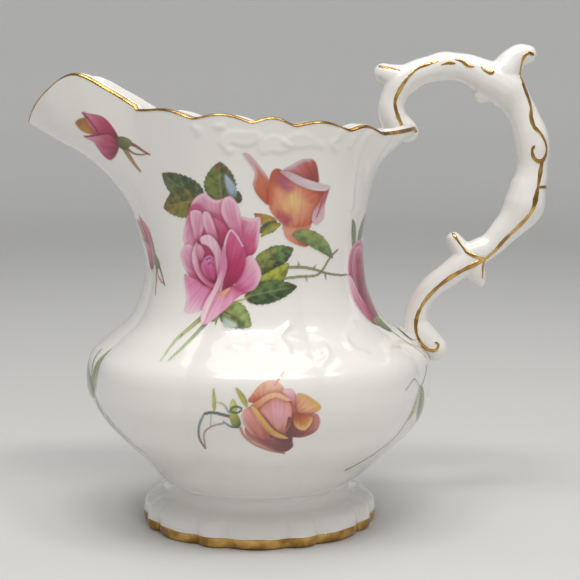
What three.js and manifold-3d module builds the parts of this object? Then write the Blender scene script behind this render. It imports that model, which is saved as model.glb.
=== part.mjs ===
// A bone china cream jug: a slip-cast body with a scooped spout, a hollow pedestal foot, a scrolled
// handle, the slip that lutes them together, and the fired gold on the rim, the foot and the handle.
// Millimetres, +Z up, the foot on z = 0, the spout towards -X and the handle towards +X.
// The origin is the middle of the bounding box, on the table. The jug is symmetric about the XZ plane.
import * as THREE from "three";
import { mergeVertices } from "three/addons/utils/BufferGeometryUtils.js";
import Module from "manifold-3d";

const wasm = await Module();
wasm.setup();

// Driving dimensions.
const FOOT_RADIUS = 29.6; // over the gilded edge
const FOOT_HEIGHT = 8.3; // table to the luted joint
const FOOT_WALL = 3.2;
const FOOT_EDGE = 2.7; // height of the upright edge that is gilded
const WAIST_RADIUS = 22.8; // where the bowl meets the foot
const BOWL_RADIUS = 43.6;
const BOWL_HEIGHT = 36.5; // of the widest level
const NECK_RADIUS = 27.4;
const NECK_HEIGHT = 66;
const NECK_SHIFT = 1.1; // the neck leans this far towards the spout
const RIM_HEIGHT = 100.8; // at the sides of the jug
const RIM_REACH = 30; // from the axis to the rim at the sides
const SPOUT_REACH = 57.1; // from the axis to the tip of the spout
const SPOUT_RISE = 11; // of the spout's two shoulders above the rim
const HEEL_DROP = 2.7; // of the rim under the handle, below the rim at the sides
const HEEL_REACH = 39.4; // from the axis to the end of the rim under the handle
const WALL = 2.4;
const RIM_WALL = 1.7;
const FLOOR = 3; // thickness of the bottom of the bowl
const PANEL_COUNT = 8; // soft upright panels round the bowl
const PANEL_DEPTH = 1.1; // of the creases between them
const SCALLOP_RISE = 1.5; // of the rim's scallops
const FOOT_SCALLOP = 0.9; // depth of the notches in the foot's edge
const HANDLE_REACH = 72.7; // from the axis to the back of the handle
const HANDLE_TOP = 119.4;
const TAIL_SHARE = 0.458; // of the way up the body's outside, where the handle's tail meets it
const HEEL_INSET = 5.5; // from the end of the rim to the middle of the handle where it stands
const HANDLE_GIRTH = 1; // factor on the handle's thickness
const HANDLE_DEPTH = 1.12; // the handle's depth in Y against its thickness in the XZ plane
const SLIP = 0.8; // thickness of the luting slip
const GAP = 0.3; // clearance between touching solids
const GOLD = 0.45; // thickness that stands for the fired gold film
const GOLD_LINE = 0.9; // width of a gold line on the handle
const TURN_STEPS = 64;
const PORCELAIN = { color: 0xf1eee6, roughness: 0.08, metalness: 0 };
const SLIP_FINISH = { color: 0xe9e5da, roughness: 0.25, metalness: 0 };
const GOLD_FINISH = { color: 0xc8922f, roughness: 0.18, metalness: 1 };

const radians = THREE.MathUtils.degToRad;
const lerp = THREE.MathUtils.lerp;

// The bowl's section from the waist to the neck, as shares of the bowl's own size.
// Each row is [share from the waist radius to the bowl radius, share from the waist to the widest level].
const LOWER_BOWL = [[0, 0], [0.08, 0.1], [0.3, 0.27], [0.55, 0.43], [0.8, 0.62], [0.955, 0.83], [1, 1]];
// [share from the neck radius to the bowl radius, share from the widest level to the neck]
const SHOULDER = [[0.93, 0.22], [0.6, 0.38], [0.25, 0.54], [0.06, 0.76], [0, 1]];
// From the neck up, a meridian's reach, its height at the rim, and the shares of both that each level has.
const MERIDIANS = [
  {
    at: 0, reach: HEEL_REACH, rise: -HEEL_DROP,
    out: [-0.01, 0.08, 0.19, 0.35, 0.71, 1],
    up: [0.21, 0.43, 0.61, 0.77, 0.9, 1],
  },
  {
    at: 25, reach: lerp(RIM_REACH, HEEL_REACH, 0.6), rise: -0.93 * HEEL_DROP,
    out: [0.01, 0.09, 0.21, 0.4, 0.72, 1],
    up: [0.21, 0.42, 0.6, 0.75, 0.89, 1],
  },
  {
    at: 50, reach: lerp(RIM_REACH, HEEL_REACH, 0.17), rise: -0.67 * HEEL_DROP,
    out: [0.02, 0.13, 0.27, 0.47, 0.73, 1],
    up: [0.2, 0.41, 0.58, 0.73, 0.87, 1],
  },
  {
    at: 90, reach: RIM_REACH, rise: 0,
    out: [0, 0.08, 0.2, 0.42, 0.7, 1],
    up: [0.2, 0.4, 0.57, 0.72, 0.86, 1],
  },
  {
    at: 125, reach: lerp(RIM_REACH, SPOUT_REACH, 0.05), rise: 1.5,
    out: [0, 0.1, 0.27, 0.5, 0.75, 1],
    up: [0.19, 0.38, 0.54, 0.7, 0.85, 1],
  },
  {
    at: 147.7, reach: lerp(RIM_REACH, SPOUT_REACH, 0.14), rise: 0.3 * SPOUT_RISE,
    out: [0.1, 0.3, 0.5, 0.68, 0.86, 1],
    up: [0.18, 0.36, 0.52, 0.67, 0.83, 1],
  },
  {
    at: 157, reach: lerp(RIM_REACH, SPOUT_REACH, 0.32), rise: 0.66 * SPOUT_RISE,
    out: [0.1, 0.25, 0.48, 0.7, 0.88, 1],
    up: [0.17, 0.33, 0.48, 0.63, 0.8, 1],
  },
  {
    at: 165, reach: lerp(RIM_REACH, SPOUT_REACH, 0.6), rise: SPOUT_RISE,
    out: [0.07, 0.18, 0.41, 0.65, 0.86, 1],
    up: [0.15, 0.3, 0.44, 0.58, 0.76, 1],
  },
  {
    at: 172.5, reach: lerp(RIM_REACH, SPOUT_REACH, 0.87), rise: 0.5 * SPOUT_RISE,
    out: [0.05, 0.14, 0.31, 0.54, 0.8, 1],
    up: [0.17, 0.34, 0.5, 0.64, 0.78, 1],
  },
  {
    at: 180, reach: SPOUT_REACH, rise: -0.5,
    out: [0.05, 0.12, 0.285, 0.49, 0.74, 1],
    up: [0.2, 0.4, 0.59, 0.75, 0.87, 1],
  },
];
const FLOOR_SHARE = 0.06; // of the meridian, where the inside turns into the bowl's floor
const LEVELS = LOWER_BOWL.length + SHOULDER.length + MERIDIANS[0].out.length;
// Where the rim's scallops meet, in degrees from the handle's side.
const RIM_CUSPS = [-16, 16, 33, 50.8, 72.6, 91.4, 117.8, 147.7];

// How far a direction is from the handle's, from 0 to 180 degrees.
function fromHandle(degrees) {
  return Math.abs(THREE.MathUtils.euclideanModulo(degrees + 180, 360) - 180);
}

// A value that changes round the jug, smooth through the meridians and level at 0 and 180 degrees.
function round(degrees, pick) {
  const turn = fromHandle(degrees);
  const last = MERIDIANS.length - 1;
  let i = 0;
  while (i < last - 1 && turn > MERIDIANS[i + 1].at) i += 1;
  const slope = (k) =>
    k === 0 || k === last
      ? 0
      : (pick(MERIDIANS[k + 1]) - pick(MERIDIANS[k - 1])) / (MERIDIANS[k + 1].at - MERIDIANS[k - 1].at);
  const span = MERIDIANS[i + 1].at - MERIDIANS[i].at;
  const t = (turn - MERIDIANS[i].at) / span;
  const t2 = t * t;
  const t3 = t2 * t;
  return (
    (2 * t3 - 3 * t2 + 1) * pick(MERIDIANS[i]) +
    (t3 - 2 * t2 + t) * span * slope(i) +
    (3 * t2 - 2 * t3) * pick(MERIDIANS[i + 1]) +
    (t3 - t2) * span * slope(i + 1)
  );
}

// 0 at the cusps and 1 in the middle of each scallop between them, and half where there are none.
function scallop(degrees, cusps) {
  const turn = fromHandle(degrees);
  const next = cusps.findIndex((cusp) => turn <= cusp);
  if (next < 1) return 0.5;
  const share = (turn - cusps[next - 1]) / (cusps[next] - cusps[next - 1]);
  return Math.sin(Math.PI * share) ** 0.8;
}

// The outside of the body on one meridian: a curve of (distance from the axis, height).
function meridian(degrees) {
  const turn = radians(degrees);
  const crease = 1 - Math.sqrt(Math.cos((turn * PANEL_COUNT) / 2) ** 2 + 0.01) ** 0.7;
  const neck = NECK_RADIUS - NECK_SHIFT * Math.cos(turn);
  const rimHeight = RIM_HEIGHT + round(degrees, (m) => m.rise);
  const points = LOWER_BOWL.map(([out, up]) => [
    lerp(WAIST_RADIUS, BOWL_RADIUS, out),
    lerp(FOOT_HEIGHT, BOWL_HEIGHT, up),
  ]);
  for (const [out, up] of SHOULDER)
    points.push([lerp(neck, BOWL_RADIUS, out), lerp(BOWL_HEIGHT, NECK_HEIGHT, up)]);
  MERIDIANS[0].out.forEach((_, k) =>
    points.push([
      lerp(neck, round(degrees, (m) => m.reach), round(degrees, (m) => m.out[k])),
      lerp(NECK_HEIGHT, rimHeight, round(degrees, (m) => m.up[k])),
    ]),
  );
  const wave = SCALLOP_RISE * (scallop(degrees, RIM_CUSPS) - 0.5);
  const shaped = points.map(([out, height], k) => {
    const share = k / (LEVELS - 1);
    const depth = PANEL_DEPTH * Math.sin(Math.PI * Math.min(1, share * 1.35)) ** 0.5;
    const nearRim = Math.max(0, (share - 0.82) / 0.18) ** 2;
    return new THREE.Vector3(out - crease * depth, height + wave * nearRim, 0);
  });
  return new THREE.CatmullRomCurve3(shaped, false, "centripetal");
}

// Places beside the outside at a share of its length: offset outwards, and lift along it towards the rim.
function beside(share, offset, lift = 0) {
  return (degrees) => {
    const wall = meridian(degrees);
    const at = wall.getPoint(share);
    const along = wall.getTangent(share);
    return [at.x + offset * along.y + lift * along.x, at.y - offset * along.x + lift * along.y];
  };
}

// A ring of points at one level, from a function of the angle in degrees that gives [out, height].
function ring(place) {
  return Array.from({ length: TURN_STEPS }, (_, i) => {
    const degrees = (360 * i) / TURN_STEPS;
    const [out, height] = place(degrees);
    return new THREE.Vector3(out * Math.cos(radians(degrees)), out * Math.sin(radians(degrees)), height);
  });
}

// A closed skin over rings. They start and end with a point on the axis, or join up when looped.
function skin(rings, looped) {
  const points = rings.flat();
  const faces = [];
  const count = looped ? rings.length : rings.length - 1;
  for (let k = 0; k < count; k += 1)
    for (let i = 0; i < TURN_STEPS; i += 1) {
      const next = ((k + 1) % rings.length) * TURN_STEPS;
      const here = k * TURN_STEPS;
      const j = (i + 1) % TURN_STEPS;
      faces.push(here + i, here + j, next + j, here + i, next + j, next + i);
    }
  if (!looped) {
    const top = (rings.length - 1) * TURN_STEPS;
    points.push(new THREE.Vector3(0, 0, rings[0][0].z), new THREE.Vector3(0, 0, rings.at(-1)[0].z));
    for (let i = 0; i < TURN_STEPS; i += 1) {
      const j = (i + 1) % TURN_STEPS;
      faces.push(points.length - 2, j, i, points.length - 1, top + i, top + j);
    }
  }
  return solidOf(new THREE.BufferGeometry().setFromPoints(points).setIndex(faces));
}

// A three.js geometry as a solid that can be cut and joined.
function solidOf(geometry) {
  const bare = geometry.clone();
  bare.deleteAttribute("normal");
  bare.deleteAttribute("uv");
  const merged = mergeVertices(bare, 1e-4);
  return new wasm.Manifold(
    new wasm.Mesh({
      numProp: 3,
      vertProperties: new Float32Array(merged.attributes.position.array),
      triVerts: new Uint32Array(merged.index.array),
    }),
  );
}

// A named mesh of a solid. The largest body is kept, because a cut can leave crumbs.
function piece(name, solid, finish) {
  const body = solid.decompose().sort((a, b) => b.volume() - a.volume())[0];
  const mesh = body.getMesh();
  const geometry = new THREE.BufferGeometry();
  geometry.setAttribute("position", new THREE.BufferAttribute(new Float32Array(mesh.vertProperties), 3));
  geometry.setIndex(new THREE.BufferAttribute(new Uint32Array(mesh.triVerts), 1));
  geometry.computeVertexNormals();
  const made = new THREE.Mesh(geometry, new THREE.MeshStandardMaterial(finish));
  made.name = name;
  return made;
}

// The body's skin: up the outside from the foot, over the rim, and down the inside to the floor of the bowl.
// grow makes it thicker on every side, which is how the pieces that meet the body are cut to clear it.
function body(grow = 0) {
  const bottom = FOOT_HEIGHT + GAP + SLIP + GAP;
  const outerSteps = 26;
  const innerSteps = 15;
  const rings = [];
  for (let k = 0; k <= outerSteps; k += 1) {
    const share = k / outerSteps;
    const outside = beside(share, grow, k === outerSteps ? grow - RIM_WALL / 3 : 0);
    rings.push(ring((degrees) => (k === 0 ? [outside(degrees)[0], bottom - grow] : outside(degrees))));
  }
  rings.push(ring(beside(1, -RIM_WALL / 2, grow)));
  for (let k = 0; k <= innerSteps; k += 1) {
    const share = lerp(FLOOR_SHARE, 1, 1 - k / innerSteps);
    const thickness = lerp(WALL, RIM_WALL, share ** 6);
    const inside = beside(share, -thickness - grow, k === 0 ? grow - RIM_WALL / 3 : 0);
    rings.push(
      ring((degrees) => {
        const [out, height] = inside(degrees);
        return [out, Math.max(height, bottom + FLOOR + grow)];
      }),
    );
  }
  return skin(rings, false);
}

// The foot's edge has a wide scallop on each panel and a narrow one on each crease.
const FOOT_CUSPS = [];
for (let panel = 0; panel <= PANEL_COUNT / 2; panel += 1) {
  const middle = (360 / PANEL_COUNT) * panel;
  const halfWide = 0.31 * (360 / PANEL_COUNT);
  FOOT_CUSPS.push(middle - halfWide, middle + halfWide);
}

// The hollow foot, open at the bottom, with a flat rim to stand on and a flat flange under the bowl.
function foot() {
  const edge = FOOT_RADIUS - GOLD - GAP;
  const inside = FOOT_RADIUS - FOOT_WALL - 1;
  const flange = WAIST_RADIUS - 0.4;
  // [distance from the axis, height, share of the edge's scallops]
  const section = [
    [inside, 0, 0],
    [edge - 0.5, 0, 1],
    [edge, 0.5, 1],
    [edge, FOOT_EDGE - 0.4, 1],
    [edge - 0.6, FOOT_EDGE, 1],
    [lerp(WAIST_RADIUS, edge, 0.6), lerp(FOOT_EDGE, FOOT_HEIGHT, 0.14), 0.6],
    [lerp(WAIST_RADIUS, edge, 0.28), lerp(FOOT_EDGE, FOOT_HEIGHT, 0.4), 0.3],
    [lerp(WAIST_RADIUS, edge, 0.08), lerp(FOOT_EDGE, FOOT_HEIGHT, 0.75), 0.1],
    [flange, FOOT_HEIGHT, 0],
    [flange - FOOT_WALL - 0.6, FOOT_HEIGHT, 0],
    [flange - FOOT_WALL, lerp(FOOT_EDGE, FOOT_HEIGHT, 0.4), 0],
    [inside - 1.5, FOOT_EDGE * 0.8, 0],
  ];
  const rings = section.map(([out, height, share]) =>
    ring((degrees) => [out - FOOT_SCALLOP * share * (1 - scallop(degrees, FOOT_CUSPS)), height]),
  );
  return skin(rings, true);
}

// The gold band round the foot's upright edge.
function footBand() {
  const low = 0.6;
  const high = FOOT_EDGE - 0.2;
  const section = [
    [FOOT_RADIUS - GOLD, low],
    [FOOT_RADIUS, low],
    [FOOT_RADIUS, high],
    [FOOT_RADIUS - GOLD, high],
  ];
  return skin(
    section.map(([out, height]) =>
      ring((degrees) => [out - FOOT_SCALLOP * (1 - scallop(degrees, FOOT_CUSPS)), height]),
    ),
    true,
  );
}

// The gold line on the rim, just clear of the glaze.
function rimLine() {
  const width = RIM_WALL * 0.6;
  const section = [
    [-RIM_WALL / 2 - width / 2, GAP],
    [-RIM_WALL / 2 + width / 2, GAP],
    [-RIM_WALL / 2 + width / 2, GAP + GOLD],
    [-RIM_WALL / 2 - width / 2, GAP + GOLD],
  ];
  return skin(section.map(([offset, lift]) => ring(beside(1, offset, lift))), true);
}

// The handle is drawn between its two joints on the body and its own back. across is 0 on the line from the
// tail's joint to the heel of the rim and 1 at the back. up is 0 at the tail's joint, HEEL_UP at the heel
// and 1 at the top. girth is in millimetres.
const tail = meridian(0).getPoint(TAIL_SHARE);
const heel = meridian(0).getPoint(1);
const HEEL_UP = 0.716;
function onHandle([across, up, girth]) {
  const joints = lerp(tail.x, heel.x - HEEL_INSET, up / HEEL_UP);
  const low = lerp(tail.y, heel.y, up / HEEL_UP);
  const high = lerp(heel.y, HANDLE_TOP, (up - HEEL_UP) / (1 - HEEL_UP));
  return {
    x: lerp(joints, HANDLE_REACH, across),
    z: up < HEEL_UP ? low : high,
    girth: girth * HANDLE_GIRTH,
  };
}
// The main stem, from the rim over the top, down the back and in to the tail.
const STEM = [
  [0.03, 0.64, 3.6], [0.005, 0.71, 3.6], [-0.01, 0.765, 3.5], [0.005, 0.81, 3.4], [0.04, 0.855, 3.6],
  [0.14, 0.905, 3.5], [0.28, 0.93, 3.5], [0.42, 0.931, 3.6], [0.51, 0.918, 3.8], [0.61, 0.892, 4.3],
  [0.72, 0.86, 4.6], [0.795, 0.805, 4], [0.84, 0.753, 4], [0.87, 0.705, 4.4], [0.89, 0.64, 4.2],
  [0.885, 0.56, 4], [0.855, 0.51, 4.6], [0.835, 0.46, 5.1], [0.79, 0.42, 4.6], [0.7, 0.37, 3.6],
  [0.59, 0.32, 3.3], [0.45, 0.28, 3.5], [0.29, 0.22, 3.2], [0.16, 0.17, 3], [0.075, 0.12, 2.9],
  [0.02, 0.065, 3.1], [0.01, 0, 3.8],
];
const SPURS = [
  [[0.12, 0.895, 3.3], [0.02, 0.893, 3], [-0.035, 0.912, 2], [-0.06, 0.922, 1.4]],
  [[0.68, 0.865, 4], [0.72, 0.91, 3.5], [0.785, 0.955, 2.9], [0.84, 0.967, 2.4], [0.855, 0.955, 2]],
  [[0.64, 0.87, 3.2], [0.585, 0.85, 2.1], [0.555, 0.835, 1.3]],
  [[0.44, 0.275, 3], [0.36, 0.31, 2.1], [0.34, 0.33, 1.7]],
  [[0.46, 0.265, 2.8], [0.505, 0.215, 2], [0.52, 0.19, 1.1]],
  [[0.04, 0.04, 3.3], [0.11, 0, 2.8], [0.15, -0.025, 2.4]],
  [[0, 0.72, 3], [0.07, 0.725, 2.4], [0.1, 0.717, 1.9]],
];
const SECTION_SIDES = 10;

// A tube through stations of { x, z, girth } in the XZ plane, an upright oval in section, with domed ends.
function stem(stations, grow = 0, steps = Math.round(stations.length * 1.6)) {
  const line = new THREE.CatmullRomCurve3(
    stations.map((s) => new THREE.Vector3(s.x, s.girth, s.z)),
    false,
    "centripetal",
  );
  const rings = [];
  for (let k = -1; k <= steps + 1; k += 1) {
    const t = THREE.MathUtils.clamp(k / steps, 0, 1);
    const at = line.getPoint(t);
    const along = line.getTangent(t).setY(0).normalize();
    const past = k < 0 ? -1 : k > steps ? 1 : 0;
    const girth = (at.y + grow) * (past ? 0.55 : 1);
    const middle = new THREE.Vector3(at.x, 0, at.z).addScaledVector(along, past * at.y * 0.7);
    const side = new THREE.Vector3(-along.z, 0, along.x);
    rings.push(
      Array.from({ length: SECTION_SIDES }, (_, i) => {
        const turn = (2 * Math.PI * i) / SECTION_SIDES;
        return middle
          .clone()
          .addScaledVector(side, girth * Math.cos(turn))
          .add(new THREE.Vector3(0, girth * HANDLE_DEPTH * Math.sin(turn), 0));
      }),
    );
  }
  const points = rings.flat();
  const faces = [];
  for (let k = 0; k < rings.length - 1; k += 1)
    for (let i = 0; i < SECTION_SIDES; i += 1) {
      const here = k * SECTION_SIDES;
      const next = here + SECTION_SIDES;
      const j = (i + 1) % SECTION_SIDES;
      faces.push(here + i, next + j, here + j, here + i, next + i, next + j);
    }
  const end = (rings.length - 1) * SECTION_SIDES;
  for (let i = 1; i < SECTION_SIDES - 1; i += 1) faces.push(0, i, i + 1, end, end + i + 1, end + i);
  return solidOf(new THREE.BufferGeometry().setFromPoints(points).setIndex(faces));
}

function wholeHandle(grow = 0) {
  return SPURS.reduce((all, spur) => all.add(stem(spur.map(onHandle), grow)), stem(STEM.map(onHandle), grow));
}

// Gold lines on the handle's flanks, as [across, up] with the stem's own scales.
const GOLD_STROKES = {
  shoulder: [[0.2, 0.917], [0.1, 0.885], [0.04, 0.84], [0.01, 0.79], [0.02, 0.745]],
  crown: [[0.26, 0.945], [0.36, 0.947], [0.47, 0.93], [0.58, 0.905]],
  back: [
    [0.79, 0.85], [0.83, 0.8], [0.87, 0.74], [0.93, 0.685],
    [0.945, 0.63], [0.91, 0.575], [0.89, 0.52], [0.86, 0.47],
  ],
  tail: [
    [0.77, 0.4], [0.68, 0.34], [0.56, 0.298], [0.42, 0.25],
    [0.29, 0.2], [0.16, 0.145], [0.07, 0.095], [0.02, 0.045],
  ],
};

// How far the stem's flank stands from the XZ plane beside a point of that plane.
function flank(x, z) {
  const line = new THREE.CatmullRomCurve3(
    STEM.map(onHandle).map((s) => new THREE.Vector3(s.x, s.girth, s.z)),
    false,
    "centripetal",
  );
  let best = { off: Infinity, girth: 1 };
  for (let k = 0; k <= 200; k += 1) {
    const at = line.getPoint(k / 200);
    const off = Math.hypot(at.x - x, at.z - z);
    if (off < best.off) best = { off, girth: at.y };
  }
  return HANDLE_DEPTH * Math.sqrt(Math.max(0.1, best.girth ** 2 - best.off ** 2));
}

// One gold line as a thin rod half sunk in the flank on the near side (-1) or the far side (1).
function goldRod(points, side, girth) {
  const route = new THREE.CatmullRomCurve3(
    points.map((p) => {
      const { x, z } = onHandle([...p, 1]);
      return new THREE.Vector3(x, side * (flank(x, z) - GOLD / 2), z);
    }),
    false,
    "centripetal",
  );
  const section = new THREE.Shape().absellipse(0, 0, girth, girth, 0, 2 * Math.PI);
  const steps = points.length * 2;
  return solidOf(new THREE.ExtrudeGeometry(section, { steps, curveSegments: 3, extrudePath: route }));
}

const jug = new THREE.Group();
jug.position.x = (SPOUT_REACH - HANDLE_REACH) / 2;

jug.add(piece("jug_body", body(), PORCELAIN));
jug.add(piece("pedestal_foot", foot(), PORCELAIN));
jug.add(piece("foot_gilding", footBand(), GOLD_FINISH));

// The slip between foot and bowl is a flat ring.
const slipRing = [
  [WAIST_RADIUS - FOOT_WALL - 0.6, FOOT_HEIGHT + GAP],
  [WAIST_RADIUS - 0.6, FOOT_HEIGHT + GAP],
  [WAIST_RADIUS - 0.6, FOOT_HEIGHT + GAP + SLIP],
  [WAIST_RADIUS - FOOT_WALL - 0.6, FOOT_HEIGHT + GAP + SLIP],
];
jug.add(piece("foot_luting", skin(slipRing.map((at) => ring(() => at)), true), SLIP_FINISH));

// The handle stops short of the body by the slip and two gaps, and the slip fills the space at each end.
const handle = wholeHandle();
const slipZone = handle.intersect(body(GAP + SLIP)).subtract(body(GAP));
const parting = (tail.y + heel.y) / 2;
const upperSlip = slipZone.trimByPlane([0, 0, 1], parting);
const lowerSlip = slipZone.trimByPlane([0, 0, -1], -parting);
jug.add(piece("handle_luting_upper", upperSlip, SLIP_FINISH));
jug.add(piece("handle_luting_lower", lowerSlip, SLIP_FINISH));

let carved = handle.subtract(body(GAP + SLIP + GAP));
for (const [name, points] of Object.entries(GOLD_STROKES))
  for (const [side, label] of [[-1, "near"], [1, "far"]]) {
    carved = carved.subtract(goldRod(points, side, GOLD_LINE / 2 + GAP));
    jug.add(piece(`handle_gilding_${name}_${label}`, goldRod(points, side, GOLD_LINE / 2), GOLD_FINISH));
  }
jug.add(piece("handle", carved, PORCELAIN));

// The rim's line breaks where the handle stands on the rim.
jug.add(piece("rim_gilding", rimLine().subtract(wholeHandle(GAP)), GOLD_FINISH));

export default jug;
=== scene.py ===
"""A bone china cream jug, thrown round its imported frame: the body, the foot and the scrolled handle,
the slip at their joints, the fired gold, and the rose prints under the glaze."""

import math

import bpy
import numpy as np
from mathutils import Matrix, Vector


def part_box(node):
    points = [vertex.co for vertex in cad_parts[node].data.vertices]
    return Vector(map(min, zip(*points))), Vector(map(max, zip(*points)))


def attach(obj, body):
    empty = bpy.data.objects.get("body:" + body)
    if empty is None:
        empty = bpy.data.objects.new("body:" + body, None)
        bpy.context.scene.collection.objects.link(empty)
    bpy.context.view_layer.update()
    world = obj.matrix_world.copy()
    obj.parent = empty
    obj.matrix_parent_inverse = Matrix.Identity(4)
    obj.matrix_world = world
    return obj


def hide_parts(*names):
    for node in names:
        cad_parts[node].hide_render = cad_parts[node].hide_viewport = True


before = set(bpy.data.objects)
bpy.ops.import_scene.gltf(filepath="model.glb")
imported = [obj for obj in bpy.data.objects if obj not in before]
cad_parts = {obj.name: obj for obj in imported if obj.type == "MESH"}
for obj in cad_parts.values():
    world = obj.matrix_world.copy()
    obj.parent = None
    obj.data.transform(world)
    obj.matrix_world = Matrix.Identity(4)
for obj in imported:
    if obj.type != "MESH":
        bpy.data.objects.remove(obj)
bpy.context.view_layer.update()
MM = 0.001

# The camera stands level with the rim, a forearm's length away, and looks down a little,
# as one looks at a jug on a shelf.
camera_distance = 345 * MM
camera_height = 100.2 * MM
camera_tilt = math.radians(6.89)
bpy.ops.object.camera_add(
    location=(0, -camera_distance, camera_height), rotation=(math.pi / 2 - camera_tilt, 0, 0)
)
camera = bpy.context.object
camera.name = "camera"
camera.data.lens = 85.53
camera.data.clip_start = 0.01
bpy.context.scene.camera = camera

# The table: a pale round cove that turns up all round, so that no edge shows behind the jug
# from any side. (out, height) in metres.
cove = [
    (0, 0), (0.3, 0), (0.6, 0), (0.95, 0), (1.2, 0.012), (1.38, 0.07), (1.49, 0.19), (1.53, 0.4),
    (1.54, 1.1),
]
cove_sides = 96


def sheet(name, points):
    """A mesh through columns of points in metres. Also gives each vertex's column and row."""
    columns, rows = points.shape[0] - 1, points.shape[1] - 1
    bpy.ops.mesh.primitive_grid_add(x_subdivisions=columns, y_subdivisions=rows, size=2)
    piece = bpy.context.object
    piece.name = name
    flat = np.zeros(len(piece.data.vertices) * 3)
    piece.data.vertices.foreach_get("co", flat)
    flat = flat.reshape(-1, 3)
    column = np.rint((flat[:, 0] + 1) / 2 * columns).astype(int)
    row = np.rint((flat[:, 1] + 1) / 2 * rows).astype(int)
    piece.data.vertices.foreach_set("co", points[column, row].ravel())
    return piece, (column, row)


def weld(inside):
    """Welds the seam of the sheet just made, and turns its faces inwards or outwards."""
    bpy.ops.object.mode_set(mode="EDIT")
    bpy.ops.mesh.select_all(action="SELECT")
    bpy.ops.mesh.remove_doubles(threshold=1e-7)
    bpy.ops.mesh.normals_make_consistent(inside=inside)
    bpy.ops.object.mode_set(mode="OBJECT")
    bpy.ops.object.shade_smooth()


turns = [2 * math.pi * side / cove_sides for side in range(cove_sides)]
cove_points = [[(out * math.cos(a), out * math.sin(a), height) for out, height in cove] for a in turns]
table, _ = sheet("table", np.array(cove_points + cove_points[:1]))
weld(inside=True)


class Socket:
    """A node's output that can be used in sums, so that shader maths reads as maths."""

    def __init__(self, tree, output):
        self.tree = tree
        self.output = output

    def node(self, kind, settings=None, **inputs):
        """Adds a node with settings, and its inputs as values or links. Gives its first output."""
        made = self.tree.nodes.new(kind)
        for key, value in (settings or {}).items():
            setattr(made, key, value)
        for key, value in inputs.items():
            numbered = key[0] == "i" and key[1:].isdigit()
            target = made.inputs[int(key[1:]) if numbered else key.replace("_", " ")]
            if isinstance(value, Socket):
                self.tree.links.new(value.output, target)
            else:
                target.default_value = value
        return Socket(self.tree, next(o for o in made.outputs if o.enabled))

    def math(self, operation, other=0.0, swap=False):
        first, second = (other, self) if swap else (self, other)
        return self.node("ShaderNodeMath", {"operation": operation}, i0=first, i1=second)

    def __add__(self, other):
        return self.math("ADD", other)

    def __radd__(self, other):
        return self.math("ADD", other, True)

    def __rsub__(self, other):
        return self.math("SUBTRACT", other, True)

    def __mul__(self, other):
        return self.math("MULTIPLY", other)

    def rise(self, low, high):
        """0 below low and 1 above high, smooth between."""
        settings = {"interpolation_type": "SMOOTHSTEP"}
        return self.node("ShaderNodeMapRange", settings, Value=self, From_Min=low, From_Max=high)

    def mix(self, here, there):
        """The colour here where this is 0, and there where it is 1."""
        here, there = [c if isinstance(c, Socket) else (*c, 1) for c in (here, there)]
        return self.node("ShaderNodeMix", {"data_type": "RGBA"}, i0=self, i6=here, i7=there)

    def noise(self, size, detail=2.0):
        """Cloudy noise with features of a size in metres. This socket is the place."""
        return self.node("ShaderNodeTexNoise", Vector=self, Scale=1 / size, Detail=detail)


def material(name):
    """A new material's Principled shader and its Object coordinates."""
    made = bpy.data.materials.new(name)
    made.use_nodes = True
    tree = made.node_tree
    shader = tree.nodes["Principled BSDF"]
    place = tree.nodes.new("ShaderNodeTexCoord").outputs["Object"]
    return made, shader, Socket(tree, place)


def wire(shader, **inputs):
    """Sets or links the inputs of a shader."""
    for key, value in inputs.items():
        target = shader.inputs[key.replace("_", " ")]
        if isinstance(value, Socket):
            value.tree.links.new(value.output, target)
        else:
            target.default_value = value


table_stuff, shader, place = material("pale_table")
grain = place.noise(0.004, 4)
out = place.node("ShaderNodeVectorMath", {"operation": "LENGTH"}, i0=place)
# Painted light: the floor is grey round the jug and pales to near white out on the cove's wall, to make up
# for the light the wall lacks.
near_stuff = place.noise(0.3).mix((0.62, 0.62, 0.61), (0.68, 0.68, 0.67))
wire(shader, Base_Color=out.rise(0.7, 1.5).mix(near_stuff, (0.9, 0.9, 0.89)), Roughness=0.55)
wire(shader, Normal=place.node("ShaderNodeBump", Height=grain, Strength=0.05, Distance=0.0002))
table.data.materials.append(table_stuff)

# The studio: three soft strips overhead, a large soft light in front to the right, and a weak
# one on the left. The large ones only fill: the glaze shows the strips.
for name, spot, aim, size, power, warmth, mirrored in (
    ("strip_left", (-0.16, -0.2, 0.5), (0, 0, 0.05), (0.13, 0.07), 0.45, (1, 0.98, 0.95), True),
    ("strip_middle", (0.03, -0.22, 0.5), (0, 0, 0.05), (0.17, 0.07), 0.6, (1, 0.98, 0.95), True),
    ("strip_right", (0.22, -0.18, 0.5), (0, 0, 0.05), (0.12, 0.07), 0.45, (1, 0.98, 0.95), True),
    ("overhead", (0, 0.1, 1), (0, 0, 0), (0.8, 0.8), 3.4, (1, 0.99, 0.97), True),
    ("front_right", (0.45, -0.85, 0.5), (0, 0, 0.06), (0.6, 0.6), 0.95, (1, 0.98, 0.96), False),
    ("left_fill", (-0.7, -0.35, 0.3), (0, 0, 0.06), (0.5, 0.6), 0.15, (0.97, 0.98, 1), False),
):
    bpy.ops.object.light_add(type="AREA", location=spot)
    light = bpy.context.object
    light.name = name
    light.rotation_euler = (Vector(aim) - Vector(spot)).to_track_quat("-Z", "Y").to_euler()
    light.data.shape = "RECTANGLE"
    light.data.size, light.data.size_y = size
    light.data.energy = power
    light.data.color = warmth
    light.visible_glossy = mirrored
world = bpy.data.worlds.new("studio_air")
bpy.context.scene.world = world
world.use_nodes = True
air = world.node_tree.nodes["Background"].inputs
air["Color"].default_value = (0.9, 0.9, 0.92, 1)
air["Strength"].default_value = 0.38
bpy.context.scene.view_settings.view_transform = "Standard"

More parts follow.
